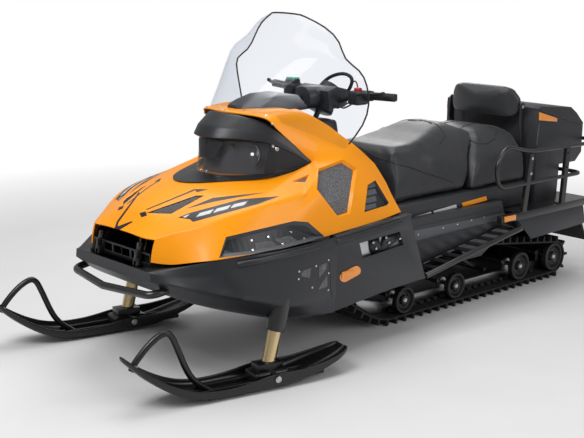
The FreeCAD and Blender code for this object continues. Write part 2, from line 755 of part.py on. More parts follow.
# Side panels behind the pan
panel_in = S.panel_half - S.panel_thick / 2
panel_out = S.panel_half + S.panel_thick / 2
panel = pad("SidePanelPlate", "YZ_Plane", [
    (S.pan_rear_y + S.seat_gap, 528), (S.pan_rear_y + S.seat_gap, 206), (-238, 236), (0, 246),
    (-115, 552)],
    panel_in, panel_out)
pocket(panel, "YZ_Plane", [[(-420, 470), (-398, 404), (-150, 420), (-185, 498)]], panel_in - 1,
    panel_out + 1)
ledge = pad("SidePanelLedge", "YZ_Plane", [
    (S.pan_rear_y + S.seat_gap, 528), (S.pan_rear_y + S.seat_gap, 468), (-122, 489), (-115, 552)],
    S.panel_half - 22, panel_out + 12)
side_left = fuse("SidePanelLeft", [panel, ledge])
node("side_panels", group("SidePanels", [side_left, mirrored("SidePanelRight", side_left)]))

# Tunnel
tunnel_in = S.track_width / 2 + S.tunnel_clear
tunnel_out = tunnel_in + S.tunnel_wall
deck_half = tunnel_out + S.deck_overhang
rear_y = S.idler_y + S.rear_overhang
board_low = S.board_front_z - S.board_thick
tunnel = pad("Tunnel", "YZ_Plane", [
    (S.tunnel_front_y, board_low), (S.tunnel_front_y, S.tunnel_top_z),
    (S.deck_front_y - 36, S.tunnel_top_z), (S.deck_front_y, S.tunnel_rear_z), (rear_y, S.tunnel_rear_z),
    (rear_y, 300), (S.board_rear_y, 300), (S.board_rear_y - 140, 225), (S.rear_arm_y - 60, 225),
    (S.rear_arm_y - 100, 290), (S.board_rise_y, board_low)], -tunnel_out, tunnel_out)
wall = S.tunnel_wall
pocket(tunnel, "YZ_Plane", [[
    (S.tunnel_front_y + wall, 150), (S.tunnel_front_y + wall, S.tunnel_top_z - wall),
    (S.deck_front_y - 36 - wall, S.tunnel_top_z - wall), (S.deck_front_y - wall, S.tunnel_rear_z - wall),
    (rear_y + 1, S.tunnel_rear_z - wall), (rear_y + 1, 150)]], -tunnel_in, tunnel_in)
strips = [box("FlangeStrip", (place_x, 6, S.strip_low_z),
              (S.strip_thick, S.deck_front_y - 60, S.strip_high_z - S.strip_low_z))
          for place_x in (tunnel_out, -tunnel_out - S.strip_thick)]
node("tunnel", fuse("TunnelWhole", [tunnel] + strips))

# Running boards: a floor in the foot well, then a lattice that rises to the rear
board_in = tunnel_out + S.seat_gap
board_plate = pad("BoardPlate", "YZ_Plane", [
    (S.tunnel_front_y, S.board_front_z), (S.tunnel_front_y, board_low), (S.board_rise_y, board_low),
    (S.board_rear_y, S.board_rear_z - S.board_thick), (S.board_rear_y, S.board_rear_z),
    (S.board_rise_y, S.board_front_z)], board_in, panel_in - S.seat_gap)
slot_count = 8
slots = []
for index in range(slot_count):
    start = S.board_rise_y + 40 + index * 82
    slots.append([(board_in + 12, start), (panel_in - 26, start + 10), (panel_in - 26, start + 62),
                  (board_in + 12, start + 52)])
pocket(board_plate, "XY_Plane", slots, 200, 420)
board_tube = feature("BoardTube", tube_shape([
    (S.board_edge_x - 8, 12, S.board_front_z + 2), (S.board_edge_x - 8, float(S.board_rear_y),
    S.board_rear_z + 8),
    (tunnel_out + 14, float(S.board_rear_y) + 34, S.board_rear_z + 12)], S.board_tube_radius, 30))
doc.recompute()
board_left = feature("RunningBoardLeft", board_plate.Shape.copy().fuse(board_tube.Shape))
node("running_boards", group("RunningBoards", [board_left, mirrored("RunningBoardRight", board_left)]))

# Seat base, console and seats
node("seat_base", pad("SeatBase", "YZ_Plane", [
    (0, S.tunnel_top_z + S.seat_gap), (0, S.seat_base_z), (S.seat_end_y, S.seat_base_z),
    (S.seat_end_y, S.deck_top_z + S.seat_gap), (S.deck_front_y + 4, S.deck_top_z + S.seat_gap),
    (S.deck_front_y - 30, S.tunnel_top_z + S.seat_gap)], -S.seat_base_half, S.seat_base_half))

post_foot = (size(0), S.bar_y - sine(S.post_rake) * S.post_length,
    S.bar_z - cosine(S.post_rake) * S.post_length)
console_body = pad("ConsoleBody", "YZ_Plane", [
    (-450, S.tunnel_top_z + S.seat_gap), (-430, 690), (-372, 800), (-330, 905), (-285, 925), (-235, 905),
    (-205, 850),
    (-60, 790), (20, 745), (-16, S.tunnel_top_z + S.seat_gap)], -S.console_half, S.console_half)
wide_bore = leaning_cylinder("PostClearance", post_foot, S.post_rake, 60, S.post_radius + S.post_clear,
    400)
near_bore = leaning_cylinder("PostSocket", post_foot, S.post_rake, -10, S.post_radius + S.seat_gap, 80)
node("console", cut("Console", console_body, fuse("ConsoleBores", [wide_bore, near_bore])))

seat_low = S.seat_base_z + S.seat_gap
split_low_y = size(506)
split_high_y = size(650)
driver_side = pad("DriverSide", "YZ_Plane", [
    (S.seat_front_y, seat_low), (14, 640), (38, S.seat_nose_z - 8), (60, S.seat_nose_z),
    (200, S.seat_dip_z), (324, S.seat_dip_z + 28), (410, S.seat_crest_z - 16), (470, S.seat_crest_z - 2),
    (540, S.seat_crest_z), (600, S.seat_crest_z - 9), (split_high_y, 806), (575, 700),
    (split_low_y, seat_low)],
    -300, 300)
driver_front = pad("DriverFront", "XZ_Plane", [
    (-S.driver_low_half, seat_low), (S.driver_low_half, seat_low), (S.driver_low_half - 8, 640),
    (S.driver_top_half + 24, 770), (S.driver_top_half - 20, 826), (S.driver_top_half - 80, 850),
    (-S.driver_top_half + 80, 850), (-S.driver_top_half + 20, 826), (-S.driver_top_half - 24, 770),
    (-S.driver_low_half + 8, 640)], -20, 700)
node("driver_seat", common("DriverSeat", [driver_side, driver_front]))
rider_side = pad("RiderSide", "YZ_Plane", [
    (split_low_y + S.seat_split, seat_low), (575 + S.seat_split, 700),
    (split_high_y + S.seat_split, 805),
    (704, S.rider_top_z - 4), (870, S.rider_top_z), (925, 780), (S.seat_end_y - 6, 700),
    (S.seat_end_y - 6, seat_low)],
    -300, 300)
rider_front = pad("RiderFront", "XZ_Plane", [
    (-S.rider_low_half, seat_low), (S.rider_low_half, seat_low), (S.rider_low_half - 6, 660),
    (S.rider_top_half, 780), (S.rider_top_half - 60, 816), (-S.rider_top_half + 60, 816),
    (-S.rider_top_half, 780), (-S.rider_low_half + 6, 660)], 490, 970)
node("passenger_seat", common("PassengerSeat", [rider_side, rider_front]))

back_rear_y = S.back_front_y + S.back_depth
back_side = pad("BackSide", "YZ_Plane", [
    (S.back_front_y + 14, S.back_low_z), (S.back_front_y, S.back_low_z + 30),
    (S.back_front_y + 8, S.back_high_z - 22),
    (S.back_front_y + 34, S.back_high_z), (back_rear_y - 12, S.back_high_z - 6),
    (back_rear_y, S.back_low_z + 40),
    (back_rear_y - 12, S.back_low_z)], -S.back_half, S.back_half)
back_front = pad("BackFront", "XZ_Plane", [
    (-S.back_half + 24, S.back_low_z), (S.back_half - 24, S.back_low_z),
    (S.back_half, S.back_low_z + 34),
    (S.back_half - 4, S.back_high_z - 60), (S.back_half - 40, S.back_high_z - 14),
    (S.back_half - 100, S.back_high_z),
    (-S.back_half + 100, S.back_high_z), (-S.back_half + 40, S.back_high_z - 14),
    (-S.back_half + 4, S.back_high_z - 60), (-S.back_half, S.back_low_z + 34)], 800, 1000)
back_plan = pad("BackPlan", "XY_Plane", [
    (-S.back_half, back_rear_y), (-S.back_half, back_rear_y - 16), (-S.back_half + 14, back_rear_y - 46),
    (-S.back_half + 58, S.back_front_y + 20), (-S.back_half / 2, S.back_front_y + 6),
    (0, S.back_front_y),
    (S.back_half / 2, S.back_front_y + 6), (S.back_half - 58, S.back_front_y + 20),
    (S.back_half - 14, back_rear_y - 46), (S.back_half, back_rear_y - 16), (S.back_half, back_rear_y)],
    S.back_low_z - 10, S.back_high_z + 10)
node("backrest", common("Backrest", [back_side, back_front, back_plan]))

bar_in = S.back_half + S.seat_gap
bars = []
wide = S.back_bar_wide
for low in (bar_in, -bar_in - S.back_bar_thick):
    bars.append(pad("BackrestBar", "YZ_Plane", [
        (958, S.deck_top_z + S.seat_gap), (958 + wide, S.deck_top_z + S.seat_gap), (958 + wide, 730),
        (946 + wide, 815), (950 + wide, 915), (950, 925), (940, 915), (932, 815), (958, 722)],
        low, low + S.back_bar_thick))
bars.append(box("BackrestCross", (-bar_in, 962, 600), (bar_in * 2, 18, 60)))
node("backrest_bracket", fuse("BackrestBracket", bars))

# Rear deck, fenders, flap and drawbar
deck_plate = box("DeckPlate", (-deck_half, S.deck_front_y + S.seat_gap, S.deck_top_z - S.deck_plate),
                 (deck_half * 2, rear_y - S.deck_front_y, S.deck_plate))
channels = [box("DeckChannel", (edge, S.deck_rail_y, S.deck_top_z - S.deck_channel),
                (size(30), rear_y + S.seat_gap - S.deck_rail_y, S.deck_channel))
            for edge in (-deck_half, deck_half - 30)]
bearers = [box("DeckBearer", (edge, S.deck_front_y + 20, S.tunnel_rear_z + S.seat_gap),
               (size(40), rear_y - S.deck_front_y - 40,
                S.deck_top_z - S.tunnel_rear_z - S.seat_gap - 1))
           for edge in (-tunnel_out + 20, tunnel_out - 60)]
node("rear_deck", fuse("RearDeck", [deck_plate] + channels + bearers))
fender_top = S.deck_top_z - S.deck_channel - S.seat_gap
fenders = [pad("Fender", "YZ_Plane", [
    (S.deck_front_y + 4, fender_top), (rear_y - 30, fender_top), (rear_y - 4, 300),
    (rear_y - 10, 284), (866, S.fender_low_z)], edge, edge + 6)
    for edge in (deck_half - 22, -deck_half + 16)]
node("rear_fenders", group("RearFenders", fenders))
flap_in = S.flap_thick
flap_low_y = rear_y + S.flap_sweep
node("snow_flap", pad("SnowFlap", "YZ_Plane", [
    (rear_y + S.seat_gap, S.tunnel_rear_z), (rear_y + 20, S.tunnel_rear_z),
    (flap_low_y + flap_in, S.flap_low_z), (flap_low_y, S.flap_low_z),
    (rear_y + S.seat_gap, 360)], -tunnel_in, tunnel_in))
hitch_top = S.deck_top_z - S.deck_plate - S.seat_gap
hitch_end_y = rear_y + S.hitch_reach
drawbar = pad("Drawbar", "XY_Plane", [
    (-S.hitch_half, 1200), (S.hitch_half, 1200), (S.hitch_half, hitch_end_y - 24),
    (S.hitch_half - 20, hitch_end_y), (-S.hitch_half + 20, hitch_end_y),
    (-S.hitch_half, hitch_end_y - 24)],
    hitch_top - S.hitch_thick, hitch_top)
pin_hole = cylinder("DrawbarHole", (size(0), hitch_end_y - 34, hitch_top - S.hitch_thick - 1),
                    S.hitch_bore / 2, S.hitch_thick + 2, "Z")
node("tow_hitch", cut("TowHitch", drawbar, pin_hole))

# Storage box and its lid
box_step_y = S.box_front_y + S.box_foot
box_shell = pad("BoxShell", "YZ_Plane", [
    (S.box_front_y, S.deck_top_z + S.seat_gap), (S.box_front_y, S.box_front_z),
    (S.box_rear_y, S.box_rear_z),
    (S.box_rear_y, S.box_step_z + 44), (S.box_rear_y - 52, S.box_step_z),
    (box_step_y + 10, S.box_step_z),
    (box_step_y, S.deck_top_z + S.seat_gap)], -S.box_half, S.box_half)
thick = S.box_wall
pocket(box_shell, "YZ_Plane", [[
    (S.box_front_y + thick, S.deck_top_z + thick), (S.box_front_y + thick, S.box_front_z + 40),
    (S.box_rear_y - thick, S.box_front_z + 40), (S.box_rear_y - thick, S.box_step_z + 46),
    (S.box_rear_y - 54, S.box_step_z + thick), (box_step_y - thick + 8, S.box_step_z + thick),
    (box_step_y - thick, S.deck_top_z + thick)]], -S.box_half + thick, S.box_half - thick)
lid_y = S.box_front_y - S.lid_barrel - 1
lid_z = S.box_front_z + 1
box_knuckles = [cylinder("BoxKnuckle", (edge, lid_y, lid_z), S.lid_barrel, 40, "X") for edge in (-170,
    130)]
box_pins = [cylinder("BoxPin", (edge, lid_y, lid_z), S.lid_pin, 80, "X") for edge in (-170, 90)]
box_tabs = [box("BoxTab", (edge, lid_y, lid_z - S.lid_barrel),
    (40, S.lid_barrel + 1.5, 4)) for edge in (-170, 130)]
node("trunk_box", fuse("TrunkBox", [box_shell] + box_knuckles + box_pins + box_tabs))

seam = S.lid_seam
lid_middle_y = (S.box_front_y + S.box_rear_y) / 2
lid_shell = pad("LidShell", "YZ_Plane", [
    (S.box_front_y, S.box_front_z + seam), (S.box_front_y + 2, S.lid_top_z - 6),
    (S.box_front_y + 16, S.lid_top_z),
    (lid_middle_y, S.lid_top_z - 15), (S.box_rear_y - 114, S.lid_top_z - 22),
    (S.box_rear_y - 62, S.box_rear_z + 71),
    (S.box_rear_y + 2, S.box_rear_z + 14), (S.box_rear_y, S.box_rear_z + seam)], -S.box_half, S.box_half)
pocket(lid_shell, "YZ_Plane", [[
    (S.box_front_y + thick, S.box_front_z - 60), (S.box_front_y + thick, S.lid_top_z - 8),
    (S.box_front_y + 18, S.lid_top_z - thick), (lid_middle_y, S.lid_top_z - 15 - thick),
    (S.box_rear_y - 116, S.lid_top_z - 22 - thick), (S.box_rear_y - 68, S.box_rear_z + 66),
    (S.box_rear_y - thick, S.box_rear_z + 10), (S.box_rear_y - thick, S.box_rear_z - 20)]],
    -S.box_half + thick, S.box_half - thick)
lid_knuckles = []
for edge in (-129, 89):
    barrel = cylinder("LidKnuckle", (edge, lid_y, lid_z), S.lid_barrel, 40, "X")
    tab = box("LidTab", (edge, lid_y, lid_z + 1), (40, S.lid_barrel + 3, 4))
    hole = cylinder("LidKnuckleHole", (edge, lid_y, lid_z), S.lid_pin + S.seat_gap, 40, "X")
    lid_knuckles.append(cut("LidKnuckleBored", fuse("LidKnuckleWhole", [barrel, tab]), hole))
node("trunk_lid", fuse("TrunkLid", [lid_shell] + lid_knuckles))

# Rack: one bent tube each side with two flat posts
rack_x = float(deck_half)
low_z = float(S.rack_low_z)
high_z = float(S.rack_high_z)
upper = tube_shape([
    (0, S.rack_cross_y, low_z), (rack_x, S.rack_cross_y, low_z), (rack_x, 566, low_z + 2),
    (rack_x, 532, 668),
    (rack_x, 606, 762), (rack_x, 800, high_z + 8), (rack_x, S.rack_rear_y, high_z - 2),
    (0, S.rack_rear_y + 8, high_z - 2)],
    S.rack_radius, 36)
rack_tube = feature("RackTube", upper)
posts = []
for low_y, high_y in ((S.post_1_low_y, S.post_1_high_y), (S.post_2_low_y, S.post_2_high_y)):
    posts.append(pad("RackPost", "YZ_Plane", [
        (low_y - S.post_wide / 2, S.deck_top_z + S.seat_gap), (low_y + S.post_wide / 2,
        S.deck_top_z + S.seat_gap),
        (high_y + S.post_wide / 2, S.rack_high_z), (high_y - S.post_wide / 2, S.rack_high_z)],
        deck_half - S.rack_radius - S.post_thick + 2, deck_half - S.rack_radius + 2))
rack_left = fuse("RackLeft", [rack_tube] + posts)
node("rear_rack", fuse("RearRack", [rack_left, mirrored("RackRight", rack_left)]))

# Amber lamps and reflectors
lamps = [box("TailLamp", (-80, S.box_rear_y + S.seat_gap, 650), (160, 14, 46))]
for side in (1, -1):
    for name, inner, depth, y, z, along, high in (
            ("PanelReflector", panel_out + S.seat_gap, 6, -526, 338, 102, 30),
            ("DeckLamp", deck_half + S.seat_gap, 8, S.deck_rail_y + 16, 396, 84, 26)):
        low = inner if side > 0 else -inner - depth
        lamps.append(box(name, (low, y, z), (depth, along, high)))
    low = S.box_half + S.seat_gap if side > 0 else -S.box_half - S.seat_gap - 4
    lamps.append(pad("BoxReflector", "YZ_Plane", [
        (S.box_front_y + 2, 838), (S.box_front_y + 156, 817), (S.box_front_y + 156, 836),
        (S.box_front_y + 2, S.box_front_z - 8)], low, low + 4))
node("lamps", group("Lamps", lamps))


# Track loop: drive sprocket in front, approach curve, ground run and rear idler
def track_loop(offset):
    """The closed belt outline in the Y-Z plane, at an offset outside the belt's inner face."""
    inner_z = float(S.belt_thick + S.lug_height)
    approach = (float(S.approach_y), inner_z + float(S.approach_radius))
    sprocket = (float(S.sprocket_y), float(S.sprocket_z))
    idler = (float(S.idler_y), inner_z + float(S.idler_radius))
    r_a, r_s, r_i = (float(r) + offset for r in (S.approach_radius, S.sprocket_radius, S.idler_radius))

    def on(centre, radius, angle):
        return vector(0, centre[0] + radius * math.cos(angle), centre[1] + radius * math.sin(angle))

    def tangent(first, r1, second, r2, turn):
        dy, dz = second[0] - first[0], second[1] - first[1]
        return math.atan2(dz, dy) + turn * math.acos((r1 - r2) / math.hypot(dy, dz))

    rising = tangent(approach, r_a, sprocket, r_s, 1)
    rising %= 2 * math.pi
    falling = tangent(sprocket, r_s, idler, r_i, 1)
    falling %= 2 * math.pi
    down = 1.5 * math.pi
    arcs = [
        (idler, r_i, falling - 2 * math.pi if falling > math.pi else falling, down - 2 * math.pi),
        (approach, r_a, down, rising),
        (sprocket, r_s, rising, falling),
    ]
    edges = []
    ends = []
    for centre, radius, start, finish in arcs:
        middle = (start + finish) / 2
        points = [on(centre, radius, angle) for angle in (start, middle, finish)]
        edges.append(Part.Arc(*points).toShape())
        ends.append((points[0], points[2]))
    for index in range(3):
        edges.append(Part.LineSegment(ends[index][1], ends[(index + 1) % 3][0]).toShape())
    return Part.Wire(Part.__sortEdges__(edges))


belt_inner = track_loop(0)
belt_outer = track_loop(float(S.belt_thick))
belt_face = Part.Face(belt_outer).cut(Part.Face(belt_inner))
lug_faces = []
count = int(float(S.lug_count))
length = belt_outer.Length
half = float(S.lug_length) / 2
walk = belt_outer.discretize(Number=count * 8 + 1)
for index in range(count):
    here = walk[index * 8]
    along = (walk[index * 8 + 1] - walk[index * 8 - 1 if index else -2]).normalize()
    out = FreeCAD.Vector(0, along.z, -along.y)
    probe = here + out * 2
    if Part.Face(belt_outer).isInside(probe, 0.01, False):
        out = out * -1
    root = here - out * 3
    tip = here + out * float(S.lug_height)
    lug_faces.append(Part.Face(polygon([
        tuple(root - along * half), tuple(root + along * half),
        tuple(tip + along * (half - 3)), tuple(tip - along * (half - 3))])))
half_width = float(S.track_width) / 2
carried = []
for side_face in [belt_face] + lug_faces:
    side_face.translate(vector(-half_width, 0, 0))
    carried.append(side_face.extrude(vector(half_width * 2, 0, 0)))
track = carried[0].multiFuse(carried[1:])
groove_face = Part.Face(track_loop(float(S.belt_thick + S.lug_height) + 4)).cut(Part.Face(belt_outer))
for side in (1, -1):
    start = side * float(S.lug_gap_place) - float(S.lug_gap) / 2
    groove = groove_face.copy()
    groove.translate(vector(start, 0, 0))
    track = track.cut(groove.extrude(vector(S.lug_gap, 0, 0)))
node("track", feature("Track", track))

# Wheels: pairs on their axles
wheel_ground = S.belt_thick + S.lug_height + S.seat_gap
wheel_out = S.track_width / 2 - S.wheel_inset


def wheel_set(name, y, radius):
    z = S.belt_thick + S.lug_height + radius
    pieces = [cylinder(name + "Axle", (-wheel_out + 2, y, z), S.axle_radius, wheel_out * 2 - 4, "X")]
    for side in (1, -1):
        inner = wheel_out - S.wheel_width if side > 0 else -wheel_out
        tyre = cylinder(name + "Tyre", (inner, y, z), radius - S.seat_gap, S.wheel_width, "X")
        dish_start = wheel_out - 9 if side > 0 else -wheel_out - 1
        dish = cylinder(name + "Dish", (dish_start, y, z), radius * 0.62, 10, "X")
        pieces.append(cut(name + "Wheel", tyre, dish))
    return fuse(name, pieces)


node("track_wheels", group("TrackWheels", [
    wheel_set("BogieFront", S.bogie_1_y, S.bogie_radius),
    wheel_set("BogieMiddle", S.bogie_2_y, S.bogie_radius),
    wheel_set("BogieRear", S.bogie_3_y, S.bogie_rear_radius),
    wheel_set("RearIdlers", S.idler_y, S.idler_radius)]))
drive_bits = [cylinder("DriveShaft", (-tunnel_in + S.seat_gap, S.sprocket_y, S.sprocket_z),
    S.drive_axle_radius,
                       (tunnel_in - S.seat_gap) * 2, "X")]
for middle in (-150, 150):
    drive_bits.append(cylinder("DriveSprocket", (middle - 30, S.sprocket_y, S.sprocket_z),
                               S.sprocket_radius - S.seat_gap, 60, "X"))
node("drive_axle", fuse("DriveAxle", drive_bits))

# Slide rails with a boss round each axle
rail_low = wheel_ground
axles = [(S.bogie_1_y, S.bogie_radius), (S.bogie_2_y, S.bogie_radius),
    (S.bogie_3_y, S.bogie_rear_radius),
         (S.idler_y, S.idler_radius)]
rails = []
for edge in (S.rail_place - S.rail_thick / 2, -S.rail_place - S.rail_thick / 2):
    bar = pad("RailBar", "YZ_Plane", [
        (S.rail_front_y, rail_low + 62), (S.rail_front_y - 12, rail_low + 84),
        (S.rail_front_y + 30, rail_low + 84),
        (S.approach_y + 20, rail_low + S.rail_height), (S.idler_y + 20, rail_low + S.rail_height),
        (S.idler_y + 30, rail_low + 16), (S.idler_y - 10, rail_low), (S.approach_y, rail_low),
        (S.approach_y - 70, rail_low + 9)], edge, edge + S.rail_thick)
    bosses = []
    holes = []
    for y, radius in axles:
        z = S.belt_thick + S.lug_height + radius
        bosses.append(cylinder("RailBoss", (edge, y, z), S.axle_radius + 16, S.rail_thick, "X"))
        holes.append(cylinder("RailHole", (edge, y, z), S.axle_radius + S.seat_gap, S.rail_thick, "X"))
        bosses.append(box("RailWeb", (edge, y - 24, rail_low + 20), (S.rail_thick, 48, radius - 20)))
    rails.append(cut("Rail", fuse("RailWhole", [bar] + bosses), fuse("RailHoles", holes)))
node("slide_rails", group("SlideRails", rails))

# Suspension arms between tunnel and rails
arm_half = tunnel_in - S.seat_gap
foot_half = S.rail_place - S.rail_thick / 2 - S.seat_gap
arm_bits = []
for top_y, top_z, low_y in ((S.front_arm_y, S.front_arm_z, S.front_foot_y),
        (S.rear_arm_y, S.rear_arm_z, S.rear_foot_y)):
    arm_bits.append(cylinder("ArmTop", (-arm_half, top_y, top_z), S.arm_radius, arm_half * 2, "X"))
    arm_bits.append(cylinder("ArmFoot", (-foot_half, low_y, S.arm_foot_z), S.arm_radius - 3,
        foot_half * 2, "X"))
    for middle in (-S.arm_place, S.arm_place):
        arm_bits.append(pad("ArmBar", "YZ_Plane", [
            (top_y - 10, top_z), (top_y + 12, top_z + 6), (low_y + 8, S.arm_foot_z + 6),
            (low_y - 8, S.arm_foot_z - 6)],
            middle - 8, middle + 8))
node("suspension_arms", fuse("SuspensionArms", arm_bits))


# Handlebar, grips, pod and controls
bar_points = [(-S.bar_end_x, S.bar_end_y, S.bar_end_z), (-200, S.bar_y + 12, S.bar_end_z - 1),
    (-112, S.bar_y, S.bar_z),
              (112, S.bar_y, S.bar_z), (200, S.bar_y + 12, S.bar_end_z - 1),
              (S.bar_end_x, S.bar_end_y, S.bar_end_z)]
bar_tube = feature("BarTube", tube_shape(bar_points, S.bar_radius, 40))
post = leaning_cylinder("SteeringPost", post_foot, S.post_rake, 0, S.post_radius, S.post_length)
node("handlebar", fuse("Handlebar", [bar_tube, post]))

end = vector(S.bar_end_x, S.bar_end_y, S.bar_end_z)
inward = (vector(200, S.bar_y + 12, S.bar_end_z - 1) - end).normalize()
grip_shapes = []
control_shapes = []
for side in (1, -1):
    start = FreeCAD.Vector(end.x * side, end.y, end.z)
    way = FreeCAD.Vector(inward.x * side, inward.y, inward.z)
    sleeve = Part.makeCylinder(float(S.grip_radius), float(S.grip_length), start - way * 4, way)
    core = Part.makeCylinder(float(S.bar_radius + S.seat_gap), float(S.grip_length), start, way)
    grip_shapes.append(sleeve.cut(core))
    switch = Part.makeCylinder(23, 42, start + way * (float(S.grip_length) + 4), way)
    bore = Part.makeCylinder(float(S.bar_radius + S.seat_gap), 60, start + way * float(S.grip_length),
        way)
    lever_start = start + way * (float(S.grip_length) + 16) + vector(0, -24, 6)
    lever = Part.makeCylinder(5, 112, lever_start + way * 6, way * -1 + vector(0, -0.22, 0.05))
    arm = Part.makeCylinder(8, 26, start + way * (float(S.grip_length) + 22) + vector(0, -30, 8),
        vector(0, 1, -0.25))
    control_shapes.append(switch.fuse([lever, arm]).cut(bore))
node("hand_grips", feature("HandGrips", Part.makeCompound(grip_shapes)))
node("hand_controls", feature("HandControls", Part.makeCompound(control_shapes)))

pod = cylinder("PodRound", (0, S.bar_y - 128, S.bar_z + 10), S.pod_radius, 84, "Y")
cover = pad("PodCover", "YZ_Plane", [
    (S.bar_y - 64, S.bar_z - 36), (S.bar_y - 74, S.bar_z + 44), (S.bar_y - 20, S.bar_z + 60),
    (S.bar_y + 46, S.bar_z + 44),
    (S.bar_y + 54, S.bar_z + 6), (S.bar_y + 30, S.bar_z - 30)], -104, 104)
clearance = feature("BarClearance", tube_shape(bar_points, S.bar_radius + S.seat_gap, 40))
post_clear = leaning_cylinder("PodPostHole", post_foot, S.post_rake, 0, S.post_radius + S.seat_gap,
    S.post_length + 8)
pod_whole = fuse("PodWhole", [pod, cover])
node("gauge_pod", cut("GaugePod", pod_whole, fuse("PodHoles", [clearance, post_clear])))
strap_half = [(50, S.bar_y + 72, S.bar_z + 116), (110, S.bar_y + 70, S.bar_z + 94),
    (118, S.bar_y + 64, S.bar_z + 66),
              (88, S.bar_y + 36, S.bar_z + 34)]
strap = feature("StrapTube", tube_shape([(-x, y, z) for x, y, z in reversed(strap_half)] + strap_half, 8,
    20))
node("grab_strap", cut("GrabStrap", strap, pod_whole))


# Skis: built straight ahead at the bolt, then turned as shown
def ski_parts(side):
    foot = vector(side * float(S.stance) / 2, S.strut_y, 0)
    turn = FreeCAD.Placement(foot, FreeCAD.Rotation(FreeCAD.Vector(0, 0, 1), -float(S.steer)))
    tip = -float(S.ski_front)
    tail = float(S.ski_rear)
    half = float(S.ski_half)
    rim = float(S.ski_rim_z)
    top_z = float(S.ski_tip_z)
    skin = float(S.ski_wall)
    under_z = float(S.keel_depth)
    floor_z = under_z + skin
    under = [(tip, top_z - 14), (tip + 50, top_z - 66), (-479, 84), (-400, 34), (-311, under_z),
        (97, under_z), (240, 40), (tail, 78)]
    over = [(tail, 104), (240, rim + 34), (97, rim), (-311, rim), (-440, 112), (tip + 60, top_z - 20),
        (tip, top_z)]
    side_face = Part.Face(polygon([(-200, y, z) for y, z in under + over]))
    plan = [(-18, tip), (18, tip), (52, tip + 50), (half - 18, tip + 150), (half, -300), (half, 120),
        (half - 12, tail - 60),
            (44, tail), (-44, tail), (-half + 12, tail - 60), (-half, 120), (-half, -300),
            (-half + 18, tip + 150),
            (-52, tip + 50)]
    plan_face = Part.Face(polygon([(x, y, -10) for x, y in plan]))
    blade = side_face.extrude(vector(400, 0, 0)).common(plan_face.extrude(vector(0, 0, 400)))
    floor = [(tip + 60, top_z - 40), (-440, 86), (-311, floor_z), (97, floor_z), (240, 62),
        (tail - 20, 96), (tail - 20, 200),
             (tip + 60, 300)]
    trough_half = half - skin - 8
    trough = Part.Face(polygon([(-trough_half, y, z) for y, z in floor])).extrude(vector(trough_half * 2,
        0, 0))
    plan_in = [(x * (half - skin) / half, y * 0.96) for x, y in plan]
    trough = trough.common(Part.Face(polygon([(x, y, -10) for x, y in plan_in])).extrude(vector(0, 0,
        400)))
    bolt = Part.makeCylinder(float(S.ski_bolt + S.seat_gap), half * 2 + 20,
        vector(-half - 10, 0, S.strut_z),
                             vector(1, 0, 0))
    ears = [Part.makeBox(14, 120, 46, vector(x, -60, floor_z - 1)) for x in (-float(S.foot_half) - 15,
        float(S.foot_half) + 1)]
    keel = Part.makeBox(float(S.keel_half) * 2, 406, under_z + 2, vector(-S.keel_half, -310, 0))
    blade = blade.cut(trough).fuse(ears + [keel]).cut(bolt)
    loop = tube_shape([(0, -553, 156), (0, -500, 262), (0, -420, 274), (0, -372, 180), (0, -330, 70),
        (0, -262, 13)],
                      S.loop_radius, 22)
    loop = loop.cut(blade)
    way = FreeCAD.Vector(0, math.sin(lean), math.cos(lean))
    foot_block = Part.makeBox(float(S.foot_half) * 2, 104, 66, vector(-S.foot_half, -52, 24))
    foot_block = foot_block.fuse(Part.makeCylinder(float(S.ski_bolt), half * 2 + 12,
        vector(-half - 6, 0, S.strut_z), vector(1, 0, 0)))
    for shape in (blade, loop, foot_block):
        shape.Placement = turn.multiply(shape.Placement)
    start = vector(side * float(S.stance) / 2, S.strut_y, S.strut_z)
    fork = Part.makeCylinder(float(S.fork_radius), float(S.sleeve_end) - 30, start + way * 4, way)
    fork = fork.fuse(foot_block)
    return blade, loop, fork


for side, word in ((1, "left"), (-1, "right")):
    blade, loop, fork = ski_parts(side)
    node(f"ski_{word}", feature(f"Ski{word}", blade))
    node(f"ski_handle_{word}", feature(f"SkiHandle{word}", loop))
    node(f"fork_{word}", feature(f"Fork{word}", fork))

doc.recompute()
for thing in doc.Objects:
    if "Invalid" in thing.State or "Error" in thing.State:
        raise RuntimeError(f"{thing.Label} failed: {thing.State}")
for label, thing in NODES.items():
    shape = thing.Shape
    if shape.isNull() or not shape.isValid():
        raise RuntimeError(f"{label} has no valid shape")
    shape.exportStep(f"parts/{label}.step")
print(len(NODES), "nodes written")
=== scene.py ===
import math

import bpy
from mathutils import Matrix, Vector
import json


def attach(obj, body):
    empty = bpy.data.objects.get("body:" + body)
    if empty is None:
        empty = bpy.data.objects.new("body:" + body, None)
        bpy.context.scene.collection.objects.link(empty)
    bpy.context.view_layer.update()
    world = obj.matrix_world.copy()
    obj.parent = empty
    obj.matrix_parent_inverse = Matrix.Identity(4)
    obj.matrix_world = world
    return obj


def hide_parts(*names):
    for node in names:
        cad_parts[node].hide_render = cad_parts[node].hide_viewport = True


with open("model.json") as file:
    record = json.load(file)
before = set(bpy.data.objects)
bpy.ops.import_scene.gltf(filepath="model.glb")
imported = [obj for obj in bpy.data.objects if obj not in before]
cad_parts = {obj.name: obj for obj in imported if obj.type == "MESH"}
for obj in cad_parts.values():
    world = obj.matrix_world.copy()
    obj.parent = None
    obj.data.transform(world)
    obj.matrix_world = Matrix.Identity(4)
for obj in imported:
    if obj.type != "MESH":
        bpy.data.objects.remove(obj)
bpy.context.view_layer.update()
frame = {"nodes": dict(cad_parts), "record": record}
nodes = frame["nodes"]


# Selection and finishing, as they are used by hand
def pickOnly(piece):
    bpy.ops.object.select_all(action="DESELECT")
    piece.select_set(True)
    bpy.context.view_layer.objects.active = piece


